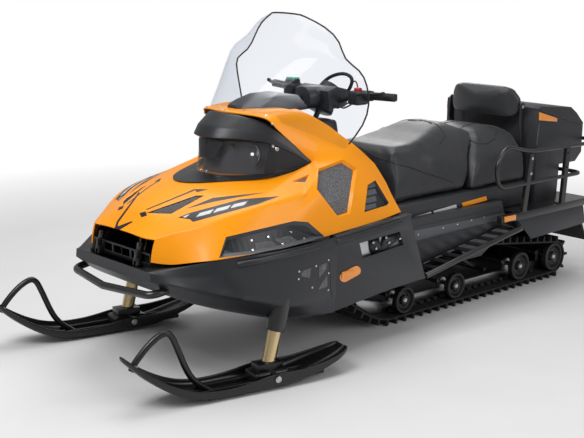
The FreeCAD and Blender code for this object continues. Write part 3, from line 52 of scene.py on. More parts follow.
def settle(piece):
    # applies the piece's place and its modifiers, so that the mesh holds everything
    pickOnly(piece)
    bpy.ops.object.transform_apply(location=True, rotation=True, scale=True)
    for modifier in list(piece.modifiers):
        bpy.ops.object.modifier_apply(modifier=modifier.name)
    return piece


def recalculate(piece):
    pickOnly(piece)
    bpy.ops.object.mode_set(mode="EDIT")
    bpy.ops.mesh.select_all(action="SELECT")
    bpy.ops.mesh.remove_doubles(threshold=0.00002)
    bpy.ops.mesh.normals_make_consistent(inside=False)
    bpy.ops.object.mode_set(mode="OBJECT")
    return piece


def smoothOver(piece, degrees=35):
    pickOnly(piece)
    bpy.ops.object.shade_smooth_by_angle(angle=math.radians(degrees))
    return piece


def addModifier(piece, kind, **settings):
    modifier = piece.modifiers.new(kind.title(), kind)
    for name, value in settings.items():
        setattr(modifier, name, value)
    return modifier


def join(name, pieces):
    bpy.ops.object.select_all(action="DESELECT")
    for piece in pieces:
        piece.select_set(True)
    bpy.context.view_layer.objects.active = pieces[0]
    if len(pieces) > 1:
        bpy.ops.object.join()
    pieces[0].name = name
    return pieces[0]


def copyOf(piece, name, shift=(0, 0, 0)):
    # a loose copy with a mesh of its own
    twin = bpy.data.objects.new(name, piece.data.copy())
    bpy.context.collection.objects.link(twin)
    twin.data.transform(Matrix.Translation(shift))
    return twin


def mirrorOf(piece, name):
    twin = copyOf(piece, name)
    twin.data.transform(Matrix.Diagonal((-1, 1, 1, 1)))
    return recalculate(twin)


def fromPoints(name, points, faces):
    mesh = bpy.data.meshes.new(name)
    mesh.from_pydata([tuple(point) for point in points], [], faces)
    made = bpy.data.objects.new(name, mesh)
    bpy.context.collection.objects.link(made)
    return recalculate(made)


def sideFaces(count):
    # the faces between two outlines of the same number of points
    return [(index, (index + 1) % count, count + (index + 1) % count, count + index) for index in range(count)]


def gridFaces(rows, wide):
    return [(row * wide + column, row * wide + column + 1, (row + 1) * wide + column + 1, (row + 1) * wide + column)
            for row in range(rows - 1) for column in range(wide - 1)]


def paint(piece, finishName):
    piece.data.materials.clear()
    piece.data.materials.append(finishes[finishName])
    return piece


def combine(piece, cutter, operation):
    # boolean of two closed meshes, which uses the cutter up
    modifier = addModifier(piece, "BOOLEAN", operation=operation, object=cutter, solver="EXACT")
    pickOnly(piece)
    bpy.ops.object.modifier_apply(modifier=modifier.name)
    bpy.data.objects.remove(cutter)
    return piece


bodyOf = {node: body for body, members in frame["record"]["behaviour"]["bodies"].items() for node in members}


def hand(piece, body, finishName, stands=()):
    # the last step of each piece: finish, body, slot and the CAD nodes that it stands for
    paint(piece, finishName)
    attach(piece, body)
    if stands:
        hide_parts(*stands)
    return piece


def dressed(nodeName, edge=0.002, sharp=28, flat=1.0, segments=2, smooth=38):
    # a copy of a CAD node with its flat faces joined and its edges rounded
    piece = copyOf(nodes[nodeName], nodeName + "Dressed")
    pickOnly(piece)
    bpy.ops.object.mode_set(mode="EDIT")
    bpy.ops.mesh.select_all(action="SELECT")
    bpy.ops.mesh.remove_doubles(threshold=0.00002)
    bpy.ops.mesh.dissolve_limited(angle_limit=math.radians(flat))
    bpy.ops.object.mode_set(mode="OBJECT")
    addModifier(piece, "BEVEL", width=edge, segments=segments, limit_method="ANGLE",
                angle_limit=math.radians(sharp), use_clamp_overlap=True)
    settle(piece)
    return smoothOver(piece, smooth)


# The photograph's camera, for pieces that are placed by one of its pixels
view = {"azimuth": 47.368, "elevation": 12.74, "roll": 0.49, "place": (3.6574, -3.7495, 1.6135), "lens": 71.29,
        "frame": (584, 438), "sensor": 36}
turned = (Matrix.Rotation(math.radians(view["azimuth"]), 3, "Z")
          @ Matrix.Rotation(math.radians(90 - view["elevation"]), 3, "X")
          @ Matrix.Rotation(math.radians(view["roll"]), 3, "Z"))
eye = Vector(view["place"])


def sight(pixel):
    # the direction in which the camera sees a pixel
    wide, high = view["frame"]
    scale = view["sensor"] / view["lens"] / wide
    return (turned @ Vector(((pixel[0] - wide / 2) * scale, (high / 2 - pixel[1]) * scale, -1))).normalized()


def seenOn(piece, pixel):
    # the point and the direction outward where a piece shows at a pixel, or just above it
    for step in range(30):
        struck, place, normal, face = piece.ray_cast(eye, sight((pixel[0], pixel[1] - step * 0.5)))
        if struck:
            return place, normal
    raise RuntimeError(f"{piece.name} isn't near pixel {pixel}")


def sightPrism(name, piece, outline, before=0.05, beyond=0.06):
    # a closed prism along the lines of sight through an outline of pixels, about the piece
    hits = [piece.ray_cast(eye, sight(pixel)) for pixel in outline]
    reach = [(place - eye).length for struck, place, normal, face in hits if struck]
    near, far = min(reach) - before, max(reach) + beyond
    rays = [sight(pixel) for pixel in outline]
    points = [eye + ray * near for ray in rays] + [eye + ray * far for ray in rays]
    count = len(outline)
    faces = [tuple(range(count)), tuple(range(2 * count - 1, count - 1, -1))]
    return fromPoints(name, points, faces + sideFaces(count))


# Shader maths on sockets
class Signal:
    def __init__(self, finish, socket):
        self.finish = finish
        self.socket = socket

    def maths(self, operation, first, second):
        return self.finish.node("ShaderNodeMath", {"operation": operation}, {0: first, 1: second})

    def __add__(self, other):
        return self.maths("ADD", self, other)

    def __mul__(self, other):
        return self.maths("MULTIPLY", self, other)

    def __gt__(self, other):
        return self.maths("GREATER_THAN", self, other)


class Finish:
    def __init__(self, name, sockets):
        self.material = bpy.data.materials.new(name)
        self.material.use_nodes = True
        self.tree = self.material.node_tree
        self.surface = self.tree.nodes["Principled BSDF"]
        for socket, value in sockets.items():
            self.surface.inputs[socket].default_value = value

    def node(self, kind, settings=None, inputs=None, output=0):
        made = self.tree.nodes.new(kind)
        for name, value in (settings or {}).items():
            if name == "stops":
                ramp = made.color_ramp
                for index, (place, colour) in enumerate(value):
                    stop = ramp.elements[index] if index < 2 else ramp.elements.new(place)
                    stop.position = place
                    stop.color = colour
            else:
                setattr(made, name, value)
        for socket, value in (inputs or {}).items():
            if isinstance(value, Signal):
                self.tree.links.new(value.socket, made.inputs[socket])
            else:
                made.inputs[socket].default_value = value
        return Signal(self, made.outputs[output])

    def place(self):
        return self.node("ShaderNodeTexCoord", output="Object")

    def cells(self, scale):
        return self.node("ShaderNodeTexVoronoi", {"feature": "DISTANCE_TO_EDGE"},
                         {"Vector": self.place(), "Scale": scale})

    def noise(self, scale, detail=3, roughness=0.55):
        return self.node("ShaderNodeTexNoise", None, {
            "Vector": self.place(), "Scale": scale, "Detail": detail, "Roughness": roughness})

    def mix(self, factor, first, second):
        return self.node("ShaderNodeMix", {"data_type": "RGBA"}, {0: factor, 6: first, 7: second}, output=2)

    def feed(self, socket, signal):
        self.tree.links.new(signal.socket, self.surface.inputs[socket])

    def bump(self, height, distance, strength=1.0):
        normal = self.node("ShaderNodeBump", None, {"Height": height, "Distance": distance, "Strength": strength})
        self.feed("Normal", normal)


def spread(signal, low, high):
    return signal * (high - low) + low


def orangePlastic():
    look = {"colour": (1.0, 0.36, 0.0, 1), "shade": (0.98, 0.31, 0.0, 1), "rough": 0.36}
    finish = Finish("orangePlastic", {"Roughness": look["rough"], "Specular IOR Level": 0.3, "Coat Weight": 0.15,
                                      "Coat Roughness": 0.1})
    finish.feed("Base Color", finish.mix(finish.noise(5), look["shade"], look["colour"]))
    finish.feed("Roughness", spread(finish.noise(60), look["rough"] - 0.04, look["rough"] + 0.06))
    finish.bump(finish.noise(700, 2), 0.00004)
    return finish.material


def mouldedPlastic(name, colour, rough, grain=0.00012, scale=900, tint=1.35):
    finish = Finish(name, {"Roughness": rough})
    broad = finish.noise(7)
    fine = finish.noise(scale, 2)
    lighter = tuple(channel * tint for channel in colour[:3]) + (1,)
    finish.feed("Base Color", finish.mix(broad, colour, lighter))
    finish.feed("Roughness", spread(finish.noise(35), rough - 0.05, rough + 0.07))
    finish.bump(fine, grain)
    return finish.material


def paintedTube():
    finish = Finish("paintedTube", {"Base Color": (0.010, 0.010, 0.011, 1), "Roughness": 0.3, "Coat Weight": 0.35,
                                    "Coat Roughness": 0.15})
    finish.feed("Roughness", spread(finish.noise(40), 0.24, 0.38))
    finish.bump(finish.noise(420, 2), 0.00006)
    return finish.material


def bareMetal(name, colour, rough, streak):
    finish = Finish(name, {"Metallic": 1.0, "Roughness": rough})
    stretched = finish.node("ShaderNodeMapping", None, {"Vector": finish.place(), "Scale": streak})
    lines = finish.node("ShaderNodeTexNoise", None, {"Vector": stretched, "Scale": 60.0, "Detail": 4})
    darker = tuple(channel * 0.7 for channel in colour[:3]) + (1,)
    finish.feed("Base Color", finish.mix(lines, darker, colour))
    finish.feed("Roughness", spread(lines, rough - 0.08, rough + 0.12))
    finish.bump(lines, 0.00008)
    return finish.material


def seatVinyl():
    finish = Finish("seatVinyl", {"Roughness": 0.42, "Sheen Weight": 0.1})
    grain = finish.cells(520.0)
    broad = finish.noise(9)
    finish.feed("Base Color", finish.mix(broad, (0.016, 0.017, 0.019, 1), (0.026, 0.027, 0.031, 1)))
    finish.feed("Roughness", spread(finish.noise(24), 0.34, 0.5))
    finish.bump(grain, 0.00025, 0.6)
    return finish.material


def rubber(name, colour, dusty, rough=0.75):
    finish = Finish(name, {"Roughness": rough})
    dust = finish.node("ShaderNodeValToRGB", {"stops": [(0.45, colour), (0.8, dusty)]}, {0: finish.noise(28, 5, 0.65)})
    finish.feed("Base Color", dust)
    finish.feed("Roughness", spread(finish.noise(60), rough - 0.1, rough + 0.12))
    finish.bump(finish.noise(380, 4), 0.0003)
    return finish.material


def clearShield():
    finish = Finish("clearShield", {"Base Color": (0.96, 0.97, 0.98, 1), "Roughness": 0.04, "IOR": 1.2})
    finish.tree.nodes.remove(finish.surface)
    glossy = finish.node("ShaderNodeBsdfGlossy", None, {"Color": (1, 1, 1, 1), "Roughness": 0.03})
    clear = finish.node("ShaderNodeBsdfTransparent", None, {"Color": (0.93, 0.94, 0.96, 1)})
    rim = finish.node("ShaderNodeLayerWeight", None, {"Blend": 0.5}, output=1)
    both = finish.node("ShaderNodeMixShader", None, {0: rim * rim * rim * 0.14 + 0.006, 1: clear, 2: glossy})
    finish.tree.links.new(both.socket, finish.tree.nodes["Material Output"].inputs["Surface"])
    return finish.material


def lensFinish(name, colour, rough=0.08, alpha=1.0, glow=0.0):
    finish = Finish(name, {"Roughness": rough, "Coat Weight": 1.0, "Coat Roughness": 0.03, "Alpha": alpha,
                           "Emission Color": colour, "Emission Strength": glow})
    ribs = finish.noise(30)
    brighter = tuple(min(channel * 1.4, 1) for channel in colour[:3]) + (1,)
    finish.feed("Base Color", finish.mix(ribs, colour, brighter))
    return finish.material


def wireMesh():
    finish = Finish("wireMesh", {"Roughness": 0.55})
    cells = finish.cells(260.0)
    # the holes are painted near black: painted shade of the hollow seen through the mesh
    holes = cells > 0.12
    finish.feed("Base Color", finish.mix(holes, (0.2, 0.2, 0.21, 1), (0.02, 0.02, 0.022, 1)))
    finish.bump(cells, 0.0008)
    return finish.material


finishes = {
    "orangePlastic": orangePlastic(),
    "blackPlastic": mouldedPlastic("blackPlastic", (0.012, 0.013, 0.016, 1), 0.36),
    "charcoalPlastic": mouldedPlastic("charcoalPlastic", (0.022, 0.023, 0.027, 1), 0.4),
    "tunnelSheet": mouldedPlastic("tunnelSheet", (0.030, 0.031, 0.035, 1), 0.4, 0.00008),
    "paintedTube": paintedTube(),
    "seatVinyl": seatVinyl(),
    "trackRubber": rubber("trackRubber", (0.008, 0.008, 0.009, 1), (0.022, 0.022, 0.023, 1)),
    "wheelRubber": rubber("wheelRubber", (0.007, 0.007, 0.008, 1), (0.014, 0.014, 0.015, 1), 0.5),
    "wheelPlastic": mouldedPlastic("wheelPlastic", (0.010, 0.010, 0.011, 1), 0.32),
    "skiPlastic": mouldedPlastic("skiPlastic", (0.006, 0.006, 0.007, 1), 0.28),
    "tunnelPale": mouldedPlastic("tunnelPale", (0.085, 0.09, 0.098, 1), 0.4, 0.00005),
    "gripRubber": rubber("gripRubber", (0.012, 0.012, 0.013, 1), (0.02, 0.02, 0.021, 1), 0.65),
    "clearShield": clearShield(),
    "smokedLens": lensFinish("smokedLens", (0.006, 0.007, 0.009, 1), alpha=0.25),
    # the bulb glows as a painted highlight, its star-shaped glint
    "bulbGlass": lensFinish("bulbGlass", (0.9, 0.9, 0.88, 1), glow=1.6),
    # the bucket's mid grey is painted reflection: it lightens the smoked lens where highlights show
    "bucketGrey": mouldedPlastic("bucketGrey", (0.16, 0.17, 0.19, 1), 0.3),
    "stripeDark": mouldedPlastic("stripeDark", (0.012, 0.012, 0.013, 1), 0.3, 0.00002),
    "stripePale": mouldedPlastic("stripePale", (0.62, 0.62, 0.63, 1), 0.3, 0.00002, tint=1.1),
    "redPlastic": mouldedPlastic("redPlastic", (0.55, 0.02, 0.03, 1), 0.35),
    "greenPlastic": mouldedPlastic("greenPlastic", (0.02, 0.33, 0.20, 1), 0.4),
    "dialGlass": lensFinish("dialGlass", (0.01, 0.012, 0.015, 1), 0.05),
    "amberLens": lensFinish("amberLens", (0.9, 0.26, 0.02, 1), 0.15),
    "redLens": lensFinish("redLens", (0.35, 0.01, 0.01, 1)),
    "wireMesh": wireMesh(),
    "goldTube": bareMetal("goldTube", (0.80, 0.62, 0.34, 1), 0.22, (0.2, 0.2, 0.02)),
    "railMetal": bareMetal("railMetal", (0.62, 0.63, 0.65, 1), 0.35, (1, 0.05, 1)),
    "screwMetal": bareMetal("screwMetal", (0.8, 0.8, 0.82, 1), 0.22, (1, 1, 1)),
    "engineMetal": bareMetal("engineMetal", (0.2, 0.2, 0.21, 1), 0.5, (1, 1, 1)),
}
print("finishes made:", len(finishes))

nodeFinish = {
    "hood_shell": "orangePlastic", "hood_grilles": "wireMesh", "lamp_housing": "blackPlastic",
    "lamp_lens": "smokedLens", "dash_cover": "charcoalPlastic", "windshield": "clearShield",
    "belly_pan": "blackPlastic", "front_bumper": "paintedTube", "front_grille": "blackPlastic",
    "front_frame": "paintedTube",
    "engine_block": "engineMetal", "side_panels": "charcoalPlastic", "tunnel": "tunnelSheet",
    "running_boards": "paintedTube", "seat_base": "charcoalPlastic", "console": "charcoalPlastic",
    "driver_seat": "seatVinyl", "passenger_seat": "seatVinyl", "backrest": "seatVinyl",
    "backrest_bracket": "paintedTube", "rear_deck": "paintedTube", "rear_fenders": "blackPlastic",
    "snow_flap": "trackRubber", "tow_hitch": "paintedTube", "trunk_box": "charcoalPlastic",
    "trunk_lid": "charcoalPlastic", "rear_rack": "paintedTube", "lamps": "amberLens", "track": "trackRubber",
    "track_wheels": "wheelRubber", "drive_axle": "wheelRubber", "slide_rails": "railMetal",
    "suspension_arms": "paintedTube", "handlebar": "paintedTube", "hand_grips": "gripRubber",
    "hand_controls": "blackPlastic", "gauge_pod": "charcoalPlastic", "grab_strap": "gripRubber",
    "ski_left": "blackPlastic", "ski_right": "blackPlastic", "ski_handle_left": "blackPlastic",
    "ski_handle_right": "blackPlastic", "fork_left": "goldTube", "fork_right": "goldTube",
}
for nodeName, finishName in nodeFinish.items():
    for slot in nodes[nodeName].material_slots:
        slot.material = finishes[finishName]
print("CAD nodes finished:", len(nodeFinish))


# Rigid pieces whose CAD shape is right: the same shape with rounded edges, by edge width in metres
roundedEdges = {
    "console": 0.012, "seat_base": 0.006, "tunnel": 0.0015, "running_boards": 0.0012,
    "rear_deck": 0.002, "rear_fenders": 0.0015, "snow_flap": 0.002, "tow_hitch": 0.0015, "trunk_box": 0.006,
    "trunk_lid": 0.006, "backrest_bracket": 0.0012, "front_grille": 0.001,
    "slide_rails": 0.0015, "suspension_arms": 0.001, "gauge_pod": 0.008, "hand_controls": 0.0012,
    "dash_cover": 0.003, "side_panels": 0.002}
dressedPieces = {}
for nodeName, edge in roundedEdges.items():
    piece = dressed(nodeName, edge)
    hand(piece, bodyOf[nodeName], nodeFinish[nodeName], (nodeName,))
    dressedPieces[nodeName] = piece
print("edges rounded:", len(roundedEdges))


def boxAt(name, low, high):
    bpy.ops.object.select_all(action="DESELECT")
    middle = [(a + b) / 2 for a, b in zip(low, high)]
    bpy.ops.mesh.primitive_cube_add(size=1, location=middle)
    block = bpy.context.object
    block.name = name
    block.scale = [b - a for a, b in zip(low, high)]
    return settle(block)


def roundedBox(name, low, high, edge, segments=3):
    block = boxAt(name, low, high)
    addModifier(block, "BEVEL", width=edge, segments=segments, use_clamp_overlap=True)
    settle(block)
    return smoothOver(block, 50)


def lathed(name, profile, place, steps=48):
    # a round piece on an axis that runs across the machine, from (across, radius) pairs
    outline = fromProfile(name, profile)
    pickOnly(outline)
    bpy.ops.object.mode_set(mode="EDIT")
    bpy.ops.mesh.select_all(action="SELECT")
    bpy.ops.mesh.spin(steps=steps, angle=math.tau, center=(0, 0, 0), axis=(1, 0, 0))
    bpy.ops.object.mode_set(mode="OBJECT")
    outline.data.transform(Matrix.Translation(place))
    recalculate(outline)
    return smoothOver(outline, 35)


def fromProfile(name, profile):
    mesh = bpy.data.meshes.new(name)
    mesh.from_pydata([(x, 0, radius) for x, radius in profile],
                     [(index, index + 1) for index in range(len(profile) - 1)], [])
    made = bpy.data.objects.new(name, mesh)
    bpy.context.collection.objects.link(made)
    return made


def cornersRounded(points, cut, steps=6):
    # a line whose corners are rounded, each from at most a length of cut before it
    points = [Vector(point) for point in points]
    line = [points[0]]
    for before, corner, after in zip(points, points[1:], points[2:]):
        reach = min(cut, (before - corner).length * 0.45, (after - corner).length * 0.45)
        start = corner + (before - corner).normalized() * reach
        end = corner + (after - corner).normalized() * reach
        for step in range(steps + 1):
            part = step / steps
            line.append(start * (1 - part) ** 2 + corner * 2 * part * (1 - part) + end * part ** 2)
    return line + [points[-1]]


def cornersCut(points, rounds=3):
    # a line with its corners rounded by cutting them again and again
    points = [Vector(point) for point in points]
    for turn in range(rounds):
        onward = [points[0]]
        for start, end in zip(points, points[1:]):
            onward += [start * 0.75 + end * 0.25, start * 0.25 + end * 0.75]
        points = onward + [points[-1]]
    return points


def patch(name, piece, outline, lift=0.0007, before=0.05, beyond=0.06):
    # the part of a closed piece behind an outline of pixels, standing proud of it
    made = copyOf(piece, name)
    combine(made, sightPrism(name + "Cutter", piece, outline, before, beyond), "INTERSECT")
    addModifier(made, "DISPLACE", strength=lift, mid_level=0.0)
    return settle(made)


def along(outline, step=6):
    # an outline with points added on its long sides
    points = []
    for index, start in enumerate(outline):
        end = outline[(index + 1) % len(outline)]
        count = max(1, round(math.dist(start, end) / step))
        points += [(start[0] + (end[0] - start[0]) * part / count, start[1] + (end[1] - start[1]) * part / count)
                   for part in range(count)]
    return points


def recess(name, skin, outline, rim, depth):
    # a sunk panel with a sloping rim, whose border lies on the skin, in faces: rim first, panel last
    border = [seenOn(skin, pixel)[0] for pixel in along(outline)]
    made = fromPoints(name, border, [tuple(range(len(border)))])
    toEye = (eye - border[0]).normalized()
    pickOnly(made)
    bpy.ops.object.mode_set(mode="EDIT")
    bpy.ops.mesh.select_all(action="SELECT")
    if made.data.polygons[0].normal.dot(toEye) < 0:
        bpy.ops.mesh.flip_normals()
    bpy.ops.mesh.inset(thickness=rim, depth=-depth)
    bpy.ops.mesh.separate(type="SELECTED")
    bpy.ops.object.mode_set(mode="OBJECT")
    bottom = [piece for piece in bpy.context.selected_objects if piece is not made][0]
    bottom.name = name + "Bottom"
    for piece in (made, bottom):
        addModifier(piece, "TRIANGULATE")
        addModifier(piece, "SOLIDIFY", thickness=0.003, offset=-1)
        settle(piece)
    return smoothOver(made, 30), bottom


def slats(name, bottom, outline, direction, count, width, lift):
    # parallel bars over a sheet, each from side to side of an outline of pixels
    tall = Vector((-direction[1], direction[0]))
    heights = [tall.dot(Vector(pixel)) for pixel in outline]
    bars = []
    for number in range(count):
        height = min(heights) + (max(heights) - min(heights)) * (number + 0.5) / count
        cuts = []
        for index, start in enumerate(outline):
            end = outline[(index + 1) % len(outline)]
            low, high = heights[index], heights[(index + 1) % len(outline)]
            if (low - height) * (high - height) < 0:
                part = (height - low) / (high - low)
                cuts.append(Vector(start) + (Vector(end) - Vector(start)) * part)
        if len(cuts) == 2 and (cuts[0] - cuts[1]).length > 1.5:
            side = tall * width / 2
            quad = [cuts[0] - side, cuts[1] - side, cuts[1] + side, cuts[0] + side]
            bars.append(patch(name + str(number), bottom, [tuple(corner) for corner in quad], lift))
    return bars


# One screw with a socket in its head, modelled once and copied
def makeScrew():
    bpy.ops.object.select_all(action="DESELECT")
    bpy.ops.mesh.primitive_cylinder_add(vertices=20, radius=0.006, depth=0.004)
    screw = bpy.context.object
    screw.name = "screwPattern"
    bpy.ops.object.mode_set(mode="EDIT")
    bpy.ops.mesh.select_all(action="DESELECT")
    bpy.ops.object.mode_set(mode="OBJECT")
    for face in screw.data.polygons:
        face.select = face.normal.z > 0.9
    bpy.ops.object.mode_set(mode="EDIT")
    bpy.ops.mesh.inset(thickness=0.0012, depth=0.0014)
    bpy.ops.mesh.inset(thickness=0.0016, depth=0)
    bpy.ops.mesh.inset(thickness=0.0004, depth=-0.002)
    bpy.ops.object.mode_set(mode="OBJECT")
    return smoothOver(screw, 35)


screwPattern = makeScrew()


def screwAt(place, normal, scale=1.0):
    screw = copyOf(screwPattern, "screw")
    turn = normal.to_track_quat("Z", "Y").to_matrix().to_4x4()
    screw.data.transform(Matrix.Translation(place) @ turn @ Matrix.Scale(scale, 4))
    return screw


def screwsOn(piece, pixels, scale=1.0, mirrored=True):
    # screws on a piece where the photograph shows them, and on its other side
    made = []
    for pixel in pixels:
        place, normal = seenOn(piece, pixel)
        made.append(screwAt(place, normal, scale))
        if mirrored:
            made.append(screwAt(Vector((-place.x, place.y, place.z)), Vector((-normal.x, normal.y, normal.z)), scale))
    return made


# Hood: half rows of its cage from the nose back, each from the ridge out to the lower edge, in millimetres
hood = {
    "rows": [
        [(0, -1300, 585), (60, -1299, 585), (110, -1298, 583), (145, -1296, 581), (170, -1291, 579),
         (188, -1282, 577), (204, -1270, 575), (203, -1282, 540), (202, -1290, 490)],
        [(0, -1230, 655), (60, -1229, 650), (110, -1224, 641), (150, -1217, 631), (190, -1209, 620),
         (222, -1202, 611), (250, -1196, 602), (256, -1220, 553), (262, -1240, 484)],
        [(0, -1130, 695), (80, -1129, 687), (140, -1127, 675), (190, -1127, 661), (232, -1128, 647),
         (268, -1129, 633), (300, -1130, 620), (316, -1160, 560), (330, -1188, 498)],
        [(0, -1012, 732), (100, -1011, 724), (170, -1010, 712), (225, -1013, 697), (270, -1017, 684),
         (312, -1021, 670), (350, -1024, 656), (378, -1075, 585), (400, -1124, 511)],
        [(0, -880, 752), (110, -876, 747), (185, -866, 737), (240, -863, 725), (288, -865, 713),
         (335, -867, 698), (380, -870, 683), (410, -940, 600), (432, -1010, 516)],
        [(0, -792, 760), (110, -766, 756), (195, -728, 748), (228, -690, 748), (262, -612, 768),
         (290, -549, 797), (400, -682, 700), (430, -770, 610), (448, -866, 518)],
        [(0, -785, 1002), (100, -752, 998), (200, -715, 988), (222, -684, 950), (255, -605, 872),
         (283, -538, 801), (350, -564, 775), (415, -600, 705), (452, -700, 524)],
        [(0, -640, 1012), (100, -620, 1012), (200, -620, 1000), (240, -540, 935), (285, -480, 875),
         (325, -480, 812), (356, -470, 790), (424, -470, 692), (451, -560, 534)],
        [(0, -400, 1005), (100, -400, 1000), (205, -420, 975), (250, -402, 928), (300, -363, 884),
         (325, -330, 845), (345, -330, 800), (425, -300, 650), (448, -300, 549)],
        [(0, -120, 900), (100, -120, 890), (200, -120, 860), (255, -120, 830), (300, -120, 800),
         (322, -120, 780), (335, -120, 740), (345, -120, 680), (420, -120, 561)],
    ],
    "alongCrease": {0: (0, 9, 0.15), 1: (4, 6, 0.9), 2: (4, 6, 0.9), 3: (4, 6, 0.9), 4: (4, 6, 0.9), 5: (4, 6, 0.9),
                    6: (0, 9, 0.75)},
    "acrossCrease": {0: (6, 8, 1.0), 1: (0, 6, 0.45), 4: (0, 6, 0.5), 5: (0, 6, 1.0), 6: (0, 6, 1.0)},
    "corners": [(0, 6), (0, 8), (9, 8)],
    "gap": (5, 5), "capped": False, "upward": 1, "levels": 3, "wall": 0.005,
    "rearEdge": [(-527, 1100), (-527, 1012), (-402, 930), (-363, 886), (-228, 768), (-177, 680), (-136, 540),
                 (-136, 480), (0, 480), (0, 1100)],
}


def skinOf(name, form):
    # a rounded open skin from half rows that start in the middle
    rows = [[(x / 1000, y / 1000, z / 1000) for x, y, z in row] for row in form["rows"]]
    wide = len(rows[0])
    full = [[(-x, y, z) for x, y, z in reversed(row[1:])] + row for row in rows]
    across = 2 * wide - 1
    points = [Vector(point) for row in full for point in row]
    faces = [(row * across + column, row * across + column + 1, (row + 1) * across + column + 1,
              (row + 1) * across + column)
             for row in range(len(rows) - 1) for column in range(across - 1)
             if row != form["gap"][0] or abs(column + 1.5 - wide) > form["gap"][1]]
    if form["capped"]:
        faces.append(tuple(range(across)))
    cage = fromPoints(name, points, faces)
    if sum(face.normal.z for face in cage.data.polygons) * form["upward"] < 0:
        cage.data.flip_normals()
    creased(cage, wide, across, form)
    return rounded(cage, points, form["levels"])


def creased(cage, wide, across, form):
    # edges of a mirrored grid sharpened by their row and their column from the middle
    crease = cage.data.attributes.new("crease_edge", "FLOAT", "EDGE")
    for edge in cage.data.edges:
        first, second = sorted(edge.vertices)
        row, column = divmod(first, across)
        half = abs(column - wide + 1)
        if second - first == across:
            low, high, value = form["alongCrease"].get(half, (0, 0, 0))
            crease.data[edge.index].value = value if low <= row < high else 0
        elif row in form["acrossCrease"]:
            low, high, value = form["acrossCrease"][row]
            outer = max(half, abs(column + 2 - wide))
            crease.data[edge.index].value = value if low < outer <= high else 0
    corner = cage.data.attributes.new("crease_vert", "FLOAT", "POINT")
    for row, half in form["corners"]:
        for column in (wide - 1 - half, wide - 1 + half):
            corner.data[row * across + column].value = 1


def rounded(cage, points, levels):
    # a subdivision surface whose cage moves out until the surface goes through its points
    for attempt in range(2):
        trial = copyOf(cage, cage.name + "Trial")
        addModifier(trial, "SUBSURF", levels=2, render_levels=2, boundary_smooth="PRESERVE_CORNERS")
        settle(trial)
        for index, point in enumerate(points):
            cage.data.vertices[index].co += (point - trial.data.vertices[index].co) * 0.8
        bpy.data.objects.remove(trial)
    addModifier(cage, "SUBSURF", levels=levels, render_levels=levels, boundary_smooth="PRESERVE_CORNERS")
    settle(cage)
    return smoothOver(cage, 50)


skin = skinOf("hoodSkin", hood)
hoodShell = copyOf(skin, "hoodShell")
addModifier(hoodShell, "SOLIDIFY", thickness=hood["wall"], offset=-1, use_even_offset=True)
settle(hoodShell)
print("hood skin:", len(skin.data.polygons), "faces")

# Openings in the hood, by their pixels in the photograph
vents = {
    "sideMesh": {"outline": [(318.4, 168.7), (342.8, 159.4), (357, 168.6), (350.5, 213.4), (338.6, 217.4),
                             (316.8, 189)],
                 "rim": 0.010, "depth": 0.012, "bottom": "wireMesh"},
    "rearLouvre": {"outline": [(375.3, 180.2), (388.8, 202.6), (387, 205.2), (364.4, 212.2), (367.7, 185)],
                   "rim": 0.006, "depth": 0.010, "bottom": "blackPlastic"},
    "smallVent": {"outline": [(292, 181.5), (309, 174.2), (305.5, 182.3)], "rim": 0.003, "depth": 0.008,
                  "bottom": "wireMesh"},
    "noseVent": {"outline": [(146, 213), (196, 195.5), (204, 195.5), (171, 213.8)], "rim": 0.002, "depth": 0.005,
                 "bottom": "blackPlastic"},
    "lowerGrille": {"outline": [(219, 258), (226, 237), (294, 221), (308, 222), (324, 236), (322, 243), (270, 252)],
                    "rim": 0.014, "depth": 0.014, "bottom": "blackPlastic"},
}
grille = {
    "windows": [[(254.9, 243.7), (263, 241.6), (271, 241.4), (280, 247.2), (256.2, 251)],
                [(274.6, 239.3), (290.5, 235.8), (300, 243), (284.5, 246.6)]],
    "screws": [(251.5, 240.5), (252.5, 250.5), (268, 236.8), (291, 232), (304, 241.5), (282.5, 247)],
}
louvres = {"rearLouvre": {"direction": (0.97, -0.24), "count": 4, "width": 4.2},
           "noseVent": {"direction": (0.75, -0.66), "count": 12, "width": 1.1}}
cutters, rims, bottoms = [], {}, {}
for ventName, vent in vents.items():
    cutter = sightPrism(ventName + "Cutter", skin, vent["outline"], 0.06, 0.08)
    cutters += [cutter, mirrorOf(cutter, ventName + "FarCutter")]
    rims[ventName], bottoms[ventName] = recess(ventName, skin, vent["outline"], vent["rim"], vent["depth"])
count = len(hood["rearEdge"])
sides = [(x, y / 1000, z / 1000) for x in (-0.7, 0.7) for y, z in hood["rearEdge"]]
rearCutter = fromPoints("rearCutter", sides, [tuple(range(count)), tuple(range(count, 2 * count))] + sideFaces(count))
combine(hoodShell, join("hoodCutters", cutters + [rearCutter]), "DIFFERENCE")
smoothOver(hoodShell, 40)
hand(hoodShell, "hood", "orangePlastic", ("hood_shell",))


def bothSides(name, pieces, body, finishName, stands=()):
    # pieces made on the near side, with their mirrored copies, as one
    far = [mirrorOf(piece, piece.name + "Far") for piece in pieces]
    return hand(join(name, pieces + far), body, finishName, stands)


